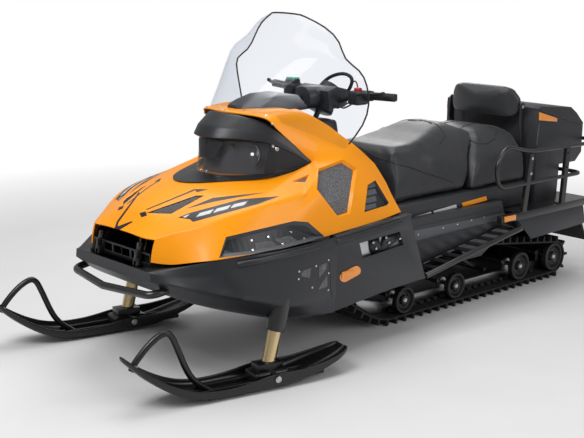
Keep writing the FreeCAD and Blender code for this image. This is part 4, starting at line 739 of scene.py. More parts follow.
windows = [patch(f"grilleWindow{number}", bottoms["lowerGrille"], outline, 0.0012)
           for number, outline in enumerate(grille["windows"])]
hoodScrews = screwsOn(bottoms["lowerGrille"], grille["screws"], 0.8)
bars = [bar for ventName, louvre in louvres.items()
        for bar in slats(ventName + "Bar", bottoms[ventName], vents[ventName]["outline"], louvre["direction"],
                         louvre["count"], louvre["width"], 0.004)]
for bar in bars:
    smoothOver(bar, 30)
rearBars = [bar for bar in bars if bar.name.startswith("rear")]
noseBars = [bar for bar in bars if bar not in rearBars]
bothSides("hoodLouvres", noseBars, "hood", "charcoalPlastic")
bothSides("rearLouvres", rearBars, "hood", "tunnelPale")
bothSides("grilleFrame", [rims["lowerGrille"]], "hood", "tunnelPale")
bothSides("grillePanel", [bottoms["lowerGrille"]], "hood", "blackPlastic")
bothSides("hoodMeshes", windows + [bottoms["sideMesh"], bottoms["smallVent"]], "hood", "wireMesh",
          ("hood_grilles",))
bothSides("ventBacks", [bottoms["rearLouvre"], bottoms["noseVent"]], "hood", "blackPlastic")
bothSides("ventRims", [rims["sideMesh"], rims["smallVent"]], "hood", "orangePlastic")
bothSides("noseVentRims", [rims["noseVent"], rims["rearLouvre"]], "hood", "blackPlastic")

# Plain stripes where the photograph has lettering, and the pinstripe of the nose
stripes = {
    "dark": [[(178, 217.6), (190, 213.0), (240, 199.5), (279, 196.3), (258, 204), (193, 221.8), (190, 219.2)],
             [(187, 208.5), (212.8, 198.0), (264, 192.6), (240, 196.8), (212, 202.0)],
             [(139.6, 213.2), (145.5, 211.4), (147, 215.5), (141.4, 217.2)],
             [(146.5, 209.2), (194, 189.4), (208.5, 189.2), (197, 192.2), (195, 190.4), (146.9, 209.9)]],
    "pinstripe": [(116, 231.8), (114.3, 229), (117.2, 221), (138.6, 192.4), (139.6, 193.0), (118.4, 222.4),
                  (117.6, 226.5), (131.5, 221.2), (132.6, 222.0)],
    "pale": [[(196, 217.4), (200, 213.2), (214, 209.4), (210, 213.8)],
             [(213, 213.0), (217, 208.8), (231, 205.2), (227, 209.4)],
             [(230, 208.6), (234, 204.4), (248, 201.2), (244, 205.2)],
             [(182, 217.2), (190, 214.2), (186, 217.8)]],
}
dark = [patch(f"stripeDark{number}", hoodShell, outline, 0.0007) for number, outline in enumerate(stripes["dark"])]
pale = [patch(f"stripePale{number}", hoodShell, outline, 0.0012) for number, outline in enumerate(stripes["pale"])]
pinstripe = patch("pinstripe", hoodShell, stripes["pinstripe"], 0.0007)
bothSides("hoodStripes", dark, "hood", "stripeDark")
hand(pinstripe, "hood", "stripeDark")
bothSides("hoodStripesPale", pale, "hood", "stripePale")
print("hood cut and dressed:", len(hoodShell.data.polygons), "faces")

# Lamp housing: side outlines (y, z) at distances from the middle, in millimetres, each from the tip of its base
# over the lens and its visor to the hood
lamp = {
    "stations": [
        (0, [(-1015, 726), (-880, 758), (-858, 890), (-885, 905), (-862, 948), (-787, 998), (-740, 985)]),
        (70, [(-985, 727), (-866, 756), (-845, 890), (-874, 905), (-850, 946), (-777, 996), (-730, 983)]),
        (130, [(-920, 728), (-800, 752), (-790, 892), (-822, 905), (-800, 938), (-746, 986), (-700, 972)]),
        (220, [(-770, 738), (-695, 765), (-690, 882), (-715, 894), (-706, 916), (-680, 946), (-640, 930)]),
        (252, [(-672, 760), (-618, 772), (-615, 838), (-628, 848), (-622, 860), (-600, 872), (-570, 862)]),
        (284, [(-566, 792), (-548, 797), (-546, 799), (-550, 801), (-547, 803), (-530, 805), (-515, 802)])],
    "baseRise": 0.007, "wall": 0.003,
    "glass": (1, 2), "glassHalf": 3,
}


def above(skin, x, y):
    struck, place, normal, face = skin.ray_cast(Vector((x, y, 2)), Vector((0, 0, -1)))
    return place.z if struck else None


def lampGrid(low, high, half):
    # the stations' outlines from one of their points to another, right across
    stations = lamp["stations"][:half + 1]
    rows = [[(x / 1000, y / 1000, z / 1000) for y, z in outline[low:high + 1]] for x, outline in stations]
    if low == 0:
        for row in rows:
            x, y, z = row[0]
            height = above(skin, x, y)
            row[0] = (x, y, max(z, height + lamp["baseRise"]) if height else z)
    full = [[(-x, y, z) for x, y, z in row] for row in reversed(rows[1:])] + rows
    wide = high - low + 1
    points = [Vector(point) for row in full for point in row]
    return points, gridFaces(len(full), wide), wide


def lampSheet(name, low, high, half, skipGlass):
    points, faces, wide = lampGrid(low, high, half)
    if skipGlass:
        first, last = lamp["glass"]
        side = len(lamp["stations"]) - 1
        faces = [face for face in faces
                 if not (face[0] % wide == first and abs(face[0] // wide + 0.5 - side) < lamp["glassHalf"])]
    sheet = fromPoints(name, points, faces)
    if sum(face.normal.z + 0.4 * -face.normal.y for face in sheet.data.polygons) < 0:
        sheet.data.flip_normals()
    crease = sheet.data.attributes.new("crease_edge", "FLOAT", "EDGE")
    for edge in sheet.data.edges:
        # the lines that run across stay crisp, and the outlines are soft
        if abs(edge.vertices[0] - edge.vertices[1]) == wide:
            crease.data[edge.index].value = 0.8
    addModifier(sheet, "SUBSURF", levels=3, render_levels=3, boundary_smooth="PRESERVE_CORNERS")
    addModifier(sheet, "SOLIDIFY", thickness=lamp["wall"], offset=-1)
    settle(sheet)
    return smoothOver(sheet, 40)


housing = lampSheet("lampHousing", 0, 6, 5, True)
glass = lampSheet("lampGlass", lamp["glass"][0], lamp["glass"][1], lamp["glassHalf"], False)
lampTrim = {
    "divider": [(200, 138), (223, 142.5), (212, 157), (200, 156.5)],
    "endCap": [(271.5, 141.6), (280, 142.8), (287.5, 151), (281, 171.6), (264.6, 173)],
    "screws": [(276.9, 149), (272.7, 157)], "lensScrew": (201, 170), "bulbs": (250, 155),
    "stripScrews": [(220.5, 110), (243, 111), (266, 116), (272, 125.5)],
}
divider = patch("lampDivider", glass, lampTrim["divider"], 0.004)
endCap = patch("lampEndCap", glass, lampTrim["endCap"], 0.005)
hoodScrews += screwsOn(housing, lampTrim["screws"], 1.6) + screwsOn(glass, [lampTrim["lensScrew"]])
bothSides("lampTrim", [divider, endCap], "hood", "blackPlastic")
hoodScrews += screwsOn(hoodShell, lampTrim["stripScrews"], 1.1)

# a mid-grey bucket behind the glass, whose grey is painted reflection that lightens the lens, with a reflector and its
# bulb on each side
bucket = copyOf(glass, "lampBucket")
bucket.data.transform(Matrix.Translation((0, 0.036, 0.824)) @ Matrix.Diagonal((1.03, 1, 1.12, 1))
                      @ Matrix.Translation((0, 0, -0.824)))
hand(bucket, "hood", "bucketGrey")


def reflector(place):
    bpy.ops.object.select_all(action="DESELECT")
    bpy.ops.mesh.primitive_uv_sphere_add(segments=32, ring_count=16, radius=0.042, location=place)
    bowl = bpy.context.object
    bpy.ops.object.mode_set(mode="EDIT")
    bpy.ops.mesh.select_all(action="SELECT")
    bpy.ops.transform.resize(value=(1, 0.35, 1))
    bpy.ops.mesh.bisect(plane_co=place, plane_no=(0, -1, 0), clear_outer=True)
    bpy.ops.object.mode_set(mode="OBJECT")
    addModifier(bowl, "SOLIDIFY", thickness=0.0015, offset=1)
    settle(bowl)
    bpy.ops.object.select_all(action="DESELECT")
    bpy.ops.mesh.primitive_uv_sphere_add(segments=16, ring_count=8, radius=0.007, location=place)
    bulb = bpy.context.object
    settle(bulb)
    return smoothOver(bowl, 60), smoothOver(bulb, 60)


place, normal = seenOn(glass, lampTrim["bulbs"])
bowl, bulb = reflector(place + Vector((-0.008, 0.019, 0)))
bothSides("lampReflectors", [bowl], "hood", "screwMetal")
# the bulbs' glow is a painted glint
bothSides("lampBulbs", [bulb], "hood", "bulbGlass")
hand(housing, "hood", "blackPlastic", ("lamp_housing",))
hand(glass, "hood", "smokedLens", ("lamp_lens",))
hand(join("hoodScrews", hoodScrews), "hood", "screwMetal")
bpy.data.objects.remove(skin)
print("lamp made")


def tubeAlong(name, points, radius, sides=2):
    # a round bead that follows points, as a mesh
    curve = bpy.data.curves.new(name, "CURVE")
    curve.dimensions = "3D"
    curve.bevel_depth = radius
    curve.bevel_resolution = sides
    line = curve.splines.new("POLY")
    line.points.add(len(points) - 1)
    for knot, point in zip(line.points, points):
        knot.co = (*point, 1)
    curve.use_fill_caps = True
    bead = bpy.data.objects.new(name, curve)
    bpy.context.collection.objects.link(bead)
    pickOnly(bead)
    bpy.ops.object.convert(target="MESH")
    return smoothOver(bpy.context.object, 60)


def seam(name, piece, pixels, radius, mirrored=True, lift=0.0, onto=None):
    # a sewn line or a bead on a piece, along pixels of the photograph
    places = []
    for start, end in zip(pixels, pixels[1:]):
        count = max(2, round(math.dist(start, end) / 1.5))
        for step in range(count):
            part = step / count
            pixel = (start[0] + (end[0] - start[0]) * part, start[1] + (end[1] - start[1]) * part)
            place, normal = seenOn(piece, pixel)
            if onto:
                found, place, normal, face = onto.closest_point_on_mesh(place)
            places.append(place + normal * lift)
    beads = [tubeAlong(name, places, radius)]
    if mirrored:
        beads.append(tubeAlong(name, [Vector((-place.x, place.y, place.z)) for place in places], radius))
    return beads


# Windshield: rows from the base up, as middle (y, z) and near end (x, y, z), in millimetres
shield = {
    "rows": [((-768, 1020), (330, -388, 842)), ((-768, 1028), (330, -388, 850)), ((-700, 1100), (386, -336, 945)),
             ((-640, 1169), (412, -336, 1034)), ((-585, 1231), (412, -352, 1110)), ((-540, 1282), (396, -375, 1174)),
             ((-515, 1311), (298, -381, 1206)), ((-480, 1351), (270, -365, 1278)), ((-456, 1377), (205, -390, 1338)),
             ((-447, 1387), (95, -424, 1380))],
    "steps": 10, "thick": 0.0035, "bead": 0.0035,
}


def alongBase(place):
    (y, z), (endX, endY, endZ) = shield["rows"][0]
    reach = min(1, abs(place.x) * 1000 / endX)
    part = math.asin(reach * math.sin(math.pi * 0.4)) / (math.pi * 0.4)
    return abs(place.x) * 1000 < endX + 1 and place.z * 1000 < z + (endZ - z) * part * part + 12


def windshield():
    count = shield["steps"]
    rows = []
    for (y, z), (endX, endY, endZ) in shield["rows"]:
        row = []
        for step in range(-count, count + 1):
            part = step / count
            bow = part * part
            row.append((endX * math.sin(part * math.pi / 2 * 0.8) / math.sin(math.pi / 2 * 0.8) / 1000,
                        (y + (endY - y) * bow) / 1000, (z + (endZ - z) * bow) / 1000))
        rows.append(row)
    wide = 2 * count + 1
    points = [point for row in rows for point in row]
    sheet = fromPoints("windshieldSheet", points, gridFaces(len(rows), wide))
    addModifier(sheet, "SUBSURF", levels=1, render_levels=1)
    settle(sheet)
    border = {}
    for edge in sheet.data.edges:
        border[edge.key] = 0
    for face in sheet.data.polygons:
        for key in face.edge_keys:
            border[key] += 1
    loop = {}
    for (first, second), uses in border.items():
        if uses == 1:
            loop.setdefault(first, []).append(second)
            loop.setdefault(second, []).append(first)
    start = min(loop)
    ring, before = [start], None
    while True:
        onward = [index for index in loop[ring[-1]] if index != before][0]
        if onward == start:
            break
        before = ring[-1]
        ring.append(onward)
    # the bead leaves out the run along the base, which sits in the hood
    ring = [sheet.data.vertices[index].co.copy() for index in ring]
    first = [index for index in range(len(ring)) if alongBase(ring[index - 1]) and not alongBase(ring[index])][0]
    bead = tubeAlong("windshieldBead", [place for place in ring[first:] + ring[:first] if not alongBase(place)],
                     shield["bead"])
    addModifier(sheet, "SOLIDIFY", thickness=shield["thick"], offset=0)
    settle(sheet)
    return smoothOver(sheet, 50), bead


sheet, bead = windshield()
hand(sheet, "hood", "clearShield", ("windshield",))
hand(bead, "hood", "gripRubber")
print("windshield made")

# A liner inside the hood, behind the lamp
liner = {"low": (-0.215, -0.566, 0.80), "high": (0.215, -0.558, 0.985), "edge": 0.003}

# Belly pan: half rows of its cage from the nose back, each from the keel out and up to the ledge under the hood
pan = {
    "rows": [
        [(0, -1330, 422), (215, -1330, 424), (256, -1330, 430), (250, -1330, 464), (236, -1330, 466),
         (150, -1330, 466)],
        [(0, -1220, 345), (290, -1220, 350), (385, -1220, 408), (345, -1220, 445), (322, -1220, 486),
         (252, -1220, 466)],
        [(0, -1100, 296), (350, -1100, 303), (450, -1100, 372), (410, -1112, 458), (398, -1112, 508),
         (350, -1112, 492)],
        [(0, -960, 250), (412, -960, 262), (496, -960, 338), (484, -1025, 480), (482, -1025, 526), (396, -1025, 500)],
        [(0, -820, 222), (448, -820, 230), (512, -820, 298), (504, -820, 474), (498, -820, 526), (424, -820, 503)],
        [(0, -570, 214), (450, -570, 202), (470, -570, 300), (474, -570, 468), (470, -570, 526), (426, -570, 512)],
    ],
    "alongCrease": {1: (0, 9, 0.5), 2: (0, 9, 0.9), 3: (0, 9, 0.6), 4: (0, 9, 0.9)},
    "acrossCrease": {0: (0, 5, 1.0), 5: (0, 5, 1.0)},
    "corners": [(0, 5), (5, 5), (0, 2), (5, 2), (0, 4), (5, 4)],
    "gap": (99, 0), "capped": True, "upward": -1, "levels": 3, "wall": 0.005,
    "windows": [[(300.5, 271.5), (311, 268), (309.5, 278), (300.5, 276)],
                [(319, 266), (327, 262.5), (326, 269), (318.5, 278.5)], [(327, 275), (327, 286), (317.5, 290.5)]],
    "screws": [(299, 271.5), (298.5, 279), (316, 266), (312, 287.5), (328.5, 260), (328.5, 273), (328, 290)],
    "seam": [(329.5, 258), (330, 270), (330.5, 288), (333, 299)],
    "lip": [(238, 264.5), (262, 260.5), (290, 254), (318, 246.5)], "lipRadius": 0.012,
}
panShell = skinOf("panShell", pan)
addModifier(panShell, "SOLIDIFY", thickness=pan["wall"], offset=-1, use_even_offset=True)
settle(panShell)
smoothOver(panShell, 40)
panWindows = [patch(f"panWindow{number}", panShell, outline, 0.0012) for number, outline in enumerate(pan["windows"])]
panScrews = screwsOn(panShell, pan["screws"], 0.8)
bothSides("panMeshes", panWindows, "chassis", "wireMesh")
hinge = {"armAt": 0.13, "armHalf": 0.013, "armLow": (-1.33, 0.46), "armHigh": (-1.268, 0.553),
         "cheeks": ((-0.2, -1.34, 0.4665), (0.2, -1.26, 0.52))}
arms = dressed("hood_shell", 0.0008)
armRegions = [boxAt("armRegion", (sign * hinge["armAt"] - hinge["armHalf"], *hinge["armLow"]),
                    (sign * hinge["armAt"] + hinge["armHalf"], *hinge["armHigh"])) for sign in (-1, 1)]
combine(arms, join("armRegion", armRegions), "INTERSECT")
arms.name = "hoodHingeArms"
hand(arms, "hood", "paintedTube")
cheeks = dressed("belly_pan", 0.001)
cheeks.name = "hoodHingeCheeks"
combine(cheeks, boxAt("cheekRegion", *hinge["cheeks"]), "INTERSECT")
hand(cheeks, "chassis", "paintedTube")
hand(panShell, "chassis", "blackPlastic", ("belly_pan",))

# Side panels: what shows in their cut-out, the reflector and the other lamps
side = {
    "plate": ((0.43, -0.44, 0.385), (0.436, -0.13, 0.515)),
    "brackets": [[(369.6, 240.7), (377.3, 238.4), (378.9, 248.5), (373.5, 253.1), (371.1, 250)],
                 [(383.6, 237.6), (394.5, 234.5), (394.5, 240.7), (386.7, 245.4), (382, 251.6), (378.9, 253.1)],
                 [(396, 233.7), (402, 232.4), (403.4, 241.2), (399.9, 239.1)]],
    "screws": [(358, 250.5), (371, 242), (374, 248), (384, 237), (387, 242), (398, 238)],
    "reflector": [(344, 277.2), (355.8, 270.6)], "reflectorHalf": 3.7,
    "lip": [(334, 242.5), (350, 237.5), (380, 228.5), (402, 221)], "proud": 0.012,
    "lampAcross": (0.44, 0.60), "lampLow": (-0.46, 0.28), "lampHigh": (-0.20, 0.40),
}
plate = roundedBox("cutoutPlate", *side["plate"], 0.001)
brackets = [patch(f"cutoutBracket{number}", plate, outline, side["proud"])
            for number, outline in enumerate(side["brackets"])]
bracketScrews = screwsOn(plate, side["screws"], 0.9)
for screw in bracketScrews:
    outward = math.copysign(side["proud"], sum(vertex.co.x for vertex in screw.data.vertices))
    screw.data.transform(Matrix.Translation((outward, 0, 0)))
bothSides("cutoutPlates", [plate], "chassis", "railMetal")
bothSides("cutoutBrackets", brackets, "chassis", "blackPlastic")
start, end = (Vector(pixel) for pixel in side["reflector"])
turn = math.atan2(end.y - start.y, end.x - start.x)
capsule = []
for middle, first in ((end, turn - math.pi / 2), (start, turn + math.pi / 2)):
    for step in range(9):
        angle = first + math.pi * step / 8
        capsule.append((middle.x + side["reflectorHalf"] * math.cos(angle),
                        middle.y + side["reflectorHalf"] * math.sin(angle)))
panelSkin = dressedPieces["side_panels"]
reflectorLens = patch("sideReflector", panelSkin, capsule, 0.006)
bothSides("sideReflectors", [reflectorLens], "chassis", "amberLens")
otherLamps = dressed("lamps", 0.0015)
for sign in (-1, 1):
    low, high = sorted(sign * across for across in side["lampAcross"])
    combine(otherLamps, boxAt("lampRegion", (low, *side["lampLow"]), (high, *side["lampHigh"])), "DIFFERENCE")
hand(otherLamps, "chassis", "amberLens", ("lamps",))

# Tunnel: the paler strip with its rivets, and plain bars where the photograph has lettering
tunnelTrim = {
    "strip": [(412.5, 231.4), (507, 212.5), (507, 217.8), (414.5, 240.7)],
    "rivets": [(418, 234.6), (443, 227.8), (457.3, 224.2), (471.4, 220.4), (484.3, 217)],
    "paleBars": [[(411, 217.6), (431, 211.8), (432, 215.8), (412, 221.6)],
                 [(433.5, 211.1), (456, 204.6), (457, 208.4), (434.5, 215.1)]],
    "orangeBars": [[(462, 203.0), (486, 196.2), (487, 200.0), (463, 206.8)]],
}
tunnelSkin = dressedPieces["tunnel"]
seatBand = dressedPieces["seat_base"]
strip = patch("tunnelStrip", tunnelSkin, tunnelTrim["strip"], 0.0015)
bothSides("tunnelStrips", [strip], "chassis", "tunnelPale")
rivets = screwsOn(tunnelSkin, tunnelTrim["rivets"], 0.7)
paleBars = [patch(f"paleBar{number}", seatBand, outline, 0.001)
            for number, outline in enumerate(tunnelTrim["paleBars"])]
orangeBars = [patch(f"orangeBar{number}", seatBand, outline, 0.001)
              for number, outline in enumerate(tunnelTrim["orangeBars"])]
bothSides("paleBars", paleBars, "chassis", "stripePale")
bothSides("orangeBars", orangeBars, "chassis", "orangePlastic")
hand(join("chassisScrews", panScrews + bracketScrews + rivets), "chassis", "screwMetal")

# Wheels: one dished wheel per size, copied to its places on both sides
wheelForm = {"face": 0.295, "width": 0.030, "ground": 0.034,
             "sets": [(0.054, 0.063), (0.415, 0.063), (0.917, 0.072), (1.201, 0.074)]}


def wheelPieces(y, radius):
    z = wheelForm["ground"] + radius
    middle = wheelForm["face"] - wheelForm["width"] / 2
    half = wheelForm["width"] / 2
    tyre = [(0.003, 0.72 * radius), (0.006, 0.76 * radius), (half - 0.001, 0.80 * radius), (half, 0.84 * radius),
            (half, 0.94 * radius), (half - 0.003, radius - 0.0005), (-half + 0.003, radius - 0.0005),
            (-half, 0.94 * radius), (-half, 0.80 * radius), (-0.004, 0.74 * radius), (-0.004, 0.72 * radius),
            (0.003, 0.72 * radius)]
    disc = [(0.012, 0.011), (0.012, 0.020), (0.009, 0.022), (0.002, 0.024), (-0.002, 0.36 * radius),
            (-0.002, 0.46 * radius), (0.004, 0.52 * radius), (0.006, 0.60 * radius), (0.004, 0.66 * radius),
            (-0.001, 0.70 * radius), (-0.001, 0.735 * radius), (-0.006, 0.735 * radius), (-0.006, 0.3 * radius),
            (-0.012, 0.022), (-0.012, 0.011), (0.012, 0.011)]
    cap = [(0.0, 0.0), (0.0, 0.0115), (0.011, 0.0115), (0.013, 0.0095), (0.015, 0.0085), (0.015, 0.004),
           (0.0135, 0.003), (0.0135, 0.0)]
    place = (middle, y, z)
    return lathed("tyre", tyre, place), lathed("disc", disc, place, 40), lathed("cap", cap, place, 24)


tyres, discs, caps = [], [], []
for y, radius in wheelForm["sets"]:
    tyre, disc, cap = wheelPieces(y, radius)
    tyres.append(tyre)
    discs.append(disc)
    caps.append(cap)
axleForm = [(-0.285, 0.0), (-0.285, 0.010), (0.285, 0.010), (0.285, 0.0)]
axles = [lathed("axle", axleForm, (0, y, wheelForm["ground"] + radius), 24) for y, radius in wheelForm["sets"]]
bothSides("wheelTyres", tyres, "chassis", "wheelRubber", ("track_wheels",))
bothSides("wheelDiscs", discs, "chassis", "wheelPlastic")
bothSides("wheelCaps", caps, "chassis", "screwMetal")
hand(join("wheelAxles", axles), "chassis", "paintedTube")
print("wheels made")

# Drive teeth on the inside of the belt, along the ground
teeth = {"from": 0.02, "to": 1.15, "pitch": 0.0504, "rows": (0.235, 0.13), "size": (0.022, 0.026, 0.018)}
toothPattern = roundedBox("tooth", (-teeth["size"][0] / 2, -teeth["size"][1] / 2, 0),
                          (teeth["size"][0] / 2, teeth["size"][1] / 2, teeth["size"][2]), 0.005, 2)
allTeeth = []
for row in teeth["rows"]:
    count = int((teeth["to"] - teeth["from"]) / teeth["pitch"])
    for number in range(count):
        foot = (row, teeth["from"] + number * teeth["pitch"], wheelForm["ground"] - 0.001)
        allTeeth.append(copyOf(toothPattern, "tooth", foot))
bpy.data.objects.remove(toothPattern)
bothSides("beltTeeth", allTeeth, "chassis", "trackRubber")

# Skis: (along, half width, underside, rim) from the tip back, straight ahead about the bolt, in millimetres
ski = {
    "stations": [(-607, 17, 196, 213), (-590, 30, 182, 205), (-548, 52, 136, 166), (-479, 68, 84, 118),
                 (-400, 79, 36, 74), (-311, 85, 8, 46), (-200, 86, 6, 42), (-110, 86, 6, 50), (-30, 86, 6, 66),
                 (60, 86, 6, 66), (130, 85, 14, 62), (240, 80, 42, 76), (310, 66, 64, 92), (342, 48, 82, 104),
                 (350, 40, 88, 106)],
    "handle": [(0, -566, 152), (0, -548, 186), (0, -490, 246), (0, -436, 277), (0, -408, 268), (0, -384, 214),
               (0, -344, 112), (0, -312, 66), (0, -276, 36), (0, -250, 18)],
    "handleRadius": 0.0125, "stance": 0.475, "strutY": -0.945, "turn": -11.4,
    "wear": [(0, -0.31, 0.0062), (0, 0.096, 0.0062)], "saddle": ((-0.048, -0.075, 0.014), (0.048, 0.075, 0.062)),
    "ribsAt": (-0.034, 0.034), "ribHalf": 0.004, "ribLow": (-0.30, 0.012), "ribHigh": (0.24, 0.034),
    "bolt": [(0, 0), (0, 0.013), (0.006, 0.013), (0.008, 0.010), (0.008, 0.0)], "boltAt": (0.0855, 0, 0.044),
    "pin": [(-0.02, 0), (-0.02, 0.008), (0.02, 0.008), (0.02, 0.0)], "pinAt": (0, -0.556, 0.168),
    "footHalf": 0.2, "footRear": 0.3, "footLow": -0.1, "footHigh": 0.094,
    "sleeveAcross": (0.40, 0.60), "sleeveLow": (-1.2, 0.335), "sleeveHigh": (-0.5, 0.60),
}


def skiBlade():
    rings = []
    for y, half, under, rim in ski["stations"]:
        floor = min(under + 9, rim - 4)
        section = [(0, under), (half * 0.45, under), (half * 0.8, under + 1), (half, under + 9), (half, rim - 2),
                   (half - 3, rim), (half - 7, rim - 2), (half - 8, floor + 4), (half * 0.62, floor),
                   (half * 0.3, floor), (half * 0.18, floor + 7), (0, floor + 8)]
        ring = section + [(-x, z) for x, z in reversed(section[1:-1])]
        rings.append([(x / 1000, y / 1000, z / 1000) for x, z in ring])
    count = len(rings[0])
    points = [point for ring in rings for point in ring]
    faces = [(row * count + column, row * count + (column + 1) % count, (row + 1) * count + (column + 1) % count,
              (row + 1) * count + column) for row in range(len(rings) - 1) for column in range(count)]
    faces += [tuple(range(count)), tuple(range(len(points) - count, len(points)))]
    blade = fromPoints("skiBlade", points, faces)
    crease = blade.data.attributes.new("crease_edge", "FLOAT", "EDGE")
    sharp = {3: 0.5, 4: 0.7, 6: 0.7}
    for edge in blade.data.edges:
        first, second = sorted(edge.vertices)
        if second - first == count:
            column = first % count
            crease.data[edge.index].value = sharp.get(min(column, count - column), 0)
    addModifier(blade, "SUBSURF", levels=2, render_levels=2)
    settle(blade)
    return smoothOver(blade, 60)


def skiPlace(sign):
    return (Matrix.Translation((sign * ski["stance"], ski["strutY"], 0))
            @ Matrix.Rotation(math.radians(ski["turn"]), 4, "Z"))


blade = skiBlade()
handle = tubeAlong("skiHandle", cornersCut([(x / 1000, y / 1000, z / 1000) for x, y, z in ski["handle"]]),
                   ski["handleRadius"], sides=5)
wear = tubeAlong("wearBar", ski["wear"], 0.006)
saddle = roundedBox("skiSaddle", *ski["saddle"], 0.012)
footRibs = [roundedBox("skiRib", (x - ski["ribHalf"], *ski["ribLow"]), (x + ski["ribHalf"], *ski["ribHigh"]), 0.003, 2)
            for x in ski["ribsAt"]]
boltHead = lathed("boltHead", ski["bolt"], ski["boltAt"], 24)
boltHeads = [boltHead, mirrorOf(boltHead, "boltHeadFar")]
handleBolt = lathed("handleBolt", ski["pin"], ski["pinAt"], 20)
for sign, word in ((1, "left"), (-1, "right")):
    place = skiPlace(sign)
    body = f"ski_{word}"
    groups = {
        "Blade": ([blade, saddle] + footRibs, "skiPlastic", "ski_plastic", (f"ski_{word}",)),
        "Handle": ([handle], "skiPlastic", "ski_plastic", (f"ski_handle_{word}",)),
        "Metal": ([wear, handleBolt] + boltHeads, "railMetal", "rail_metal", ())}
    for groupName, (pieces, finishName, slotName, stands) in groups.items():
        copies = [copyOf(piece, f"{piece.name}{word}") for piece in pieces]
        for piece in copies:
            piece.data.transform(place)
        hand(join(f"{body}{groupName}", copies), body, finishName, stands)
    fork = dressed(f"fork_{word}", 0.002)
    foot = copyOf(fork, f"forkFoot{word}")
    around = (sign * ski["stance"], ski["strutY"])
    low = (around[0] - ski["footHalf"], around[1] - ski["footHalf"], ski["footLow"])
    high = (around[0] + ski["footHalf"], around[1] + ski["footRear"], ski["footHigh"])
    combine(fork, boxAt("forkRegion", low, high), "DIFFERENCE")
    combine(foot, boxAt("footRegion", low, high), "INTERSECT")
    hand(smoothOver(fork, 40), body, "goldTube", (f"fork_{word}",))
    hand(foot, body, "skiPlastic")
for spare in [blade, handle, wear, saddle, handleBolt] + footRibs + boltHeads:
    bpy.data.objects.remove(spare)

# Sleeves of the forks, without what lies behind the pan's side
sleeves = dressed("front_frame", 0.001)
for sign in (-1, 1):
    low, high = sorted(sign * across for across in ski["sleeveAcross"])
    combine(sleeves, boxAt("sleeveRegion", (low, *ski["sleeveLow"]), (high, *ski["sleeveHigh"])), "DIFFERENCE")
hand(smoothOver(sleeves, 40), "chassis", "paintedTube", ("front_frame",))
print("skis and forks made")

# Seats and backrest: the CAD's block, blown up as a stuffed cover, then its sewn lines
seats = {
    "driver_seat": {"body": "chassis", "start": -0.010, "cap": 0.024, "voxel": 0.011,
                    "rounding": 10, "bead": 0.0022, "inward": 0.15, "rearLimit": 0,
                    "seams": [
        [(367.2, 154.1), (391.4, 161.9), (414.7, 168.2), (439.6, 176.7), (457.0, 183.4)],
        [(408.5, 123), (421, 122.8), (433.4, 125.4), (443.8, 130), (445.4, 136.3), (439.2, 144.8)]]},
    "passenger_seat": {"body": "chassis", "start": -0.010, "cap": 0.022, "voxel": 0.010,
                       "rounding": 14, "bead": 0.0022, "inward": 0.15, "rearLimit": 0,
                       "seams": [
        [(459.8, 134.7), (461.4, 126.6), (475.4, 123.2), (492.5, 125.6), (497.2, 128.5), (495.6, 137.8),
         (486.3, 144), (471.2, 140.9), (462.8, 135.7)]]},
    "backrest": {"body": "chassis", "start": -0.004, "cap": 0.018, "voxel": 0.008,
                 "rounding": 24, "bead": 0.003, "inward": 0.0, "rearLimit": 0.001,
                 "seams": [
        [(457.5, 112.5), (470, 113.2), (490, 115), (508, 118), (517, 113), (521.5, 104)]]},
}


def stuffed(nodeName, form):
    pad = copyOf(nodes[nodeName], nodeName + "Pad")
    pickOnly(pad)
    bpy.ops.object.mode_set(mode="EDIT")
    bpy.ops.mesh.select_all(action="SELECT")
    bpy.ops.mesh.remove_doubles(threshold=0.00002)
    bpy.ops.object.mode_set(mode="OBJECT")
    addModifier(pad, "REMESH", mode="VOXEL", voxel_size=form["voxel"], use_smooth_shade=True)
    addModifier(pad, "DISPLACE", strength=form["start"], mid_level=0.0)
    addModifier(pad, "CORRECTIVE_SMOOTH", factor=0.5, iterations=10, use_only_smooth=True)
    settle(pad)
    before = [(vertex.co.copy(), vertex.normal.copy()) for vertex in pad.data.vertices]
    cloth = addModifier(pad, "CLOTH")
    cloth.settings.use_pressure = True
    cloth.settings.uniform_pressure_force = 4
    cloth.settings.effector_weights.gravity = 0
    cloth.settings.quality = 5
    scene = bpy.context.scene
    for frameNumber in range(1, 21):
        scene.frame_set(frameNumber)
    pickOnly(pad)
    bpy.ops.object.modifier_apply(modifier=cloth.name)
    scene.frame_set(1)
    for vertex, (start, outward) in zip(pad.data.vertices, before):
        move = vertex.co - start
        if move.dot(outward) < 0:
            move *= form["inward"]
        if move.length > form["cap"]:
            move = move.normalized() * form["cap"]
        vertex.co = start + move
    addModifier(pad, "SMOOTH", factor=0.5, iterations=form["rounding"])
    addModifier(pad, "SUBSURF", levels=1, render_levels=1)
    settle(pad)
    if form["rearLimit"]:
        rearmost = max(vertex.co.y for vertex in nodes[nodeName].data.vertices) - form["rearLimit"]
        for vertex in pad.data.vertices:
            vertex.co.y = min(vertex.co.y, rearmost)
    return smoothOver(pad, 80)


seatSeams = []
for nodeName, form in seats.items():
    pad = stuffed(nodeName, form)
    for number, line in enumerate(form["seams"]):
        seatSeams += seam(f"{nodeName}Seam{number}", nodes[nodeName], line, form["bead"],
                          mirrored=nodeName != "backrest", onto=pad)
    hand(pad, form["body"], "seatVinyl", (nodeName,))
    print("stuffed:", nodeName, len(pad.data.polygons), "faces")
hand(join("seatSeams", seatSeams), "chassis", "gripRubber")

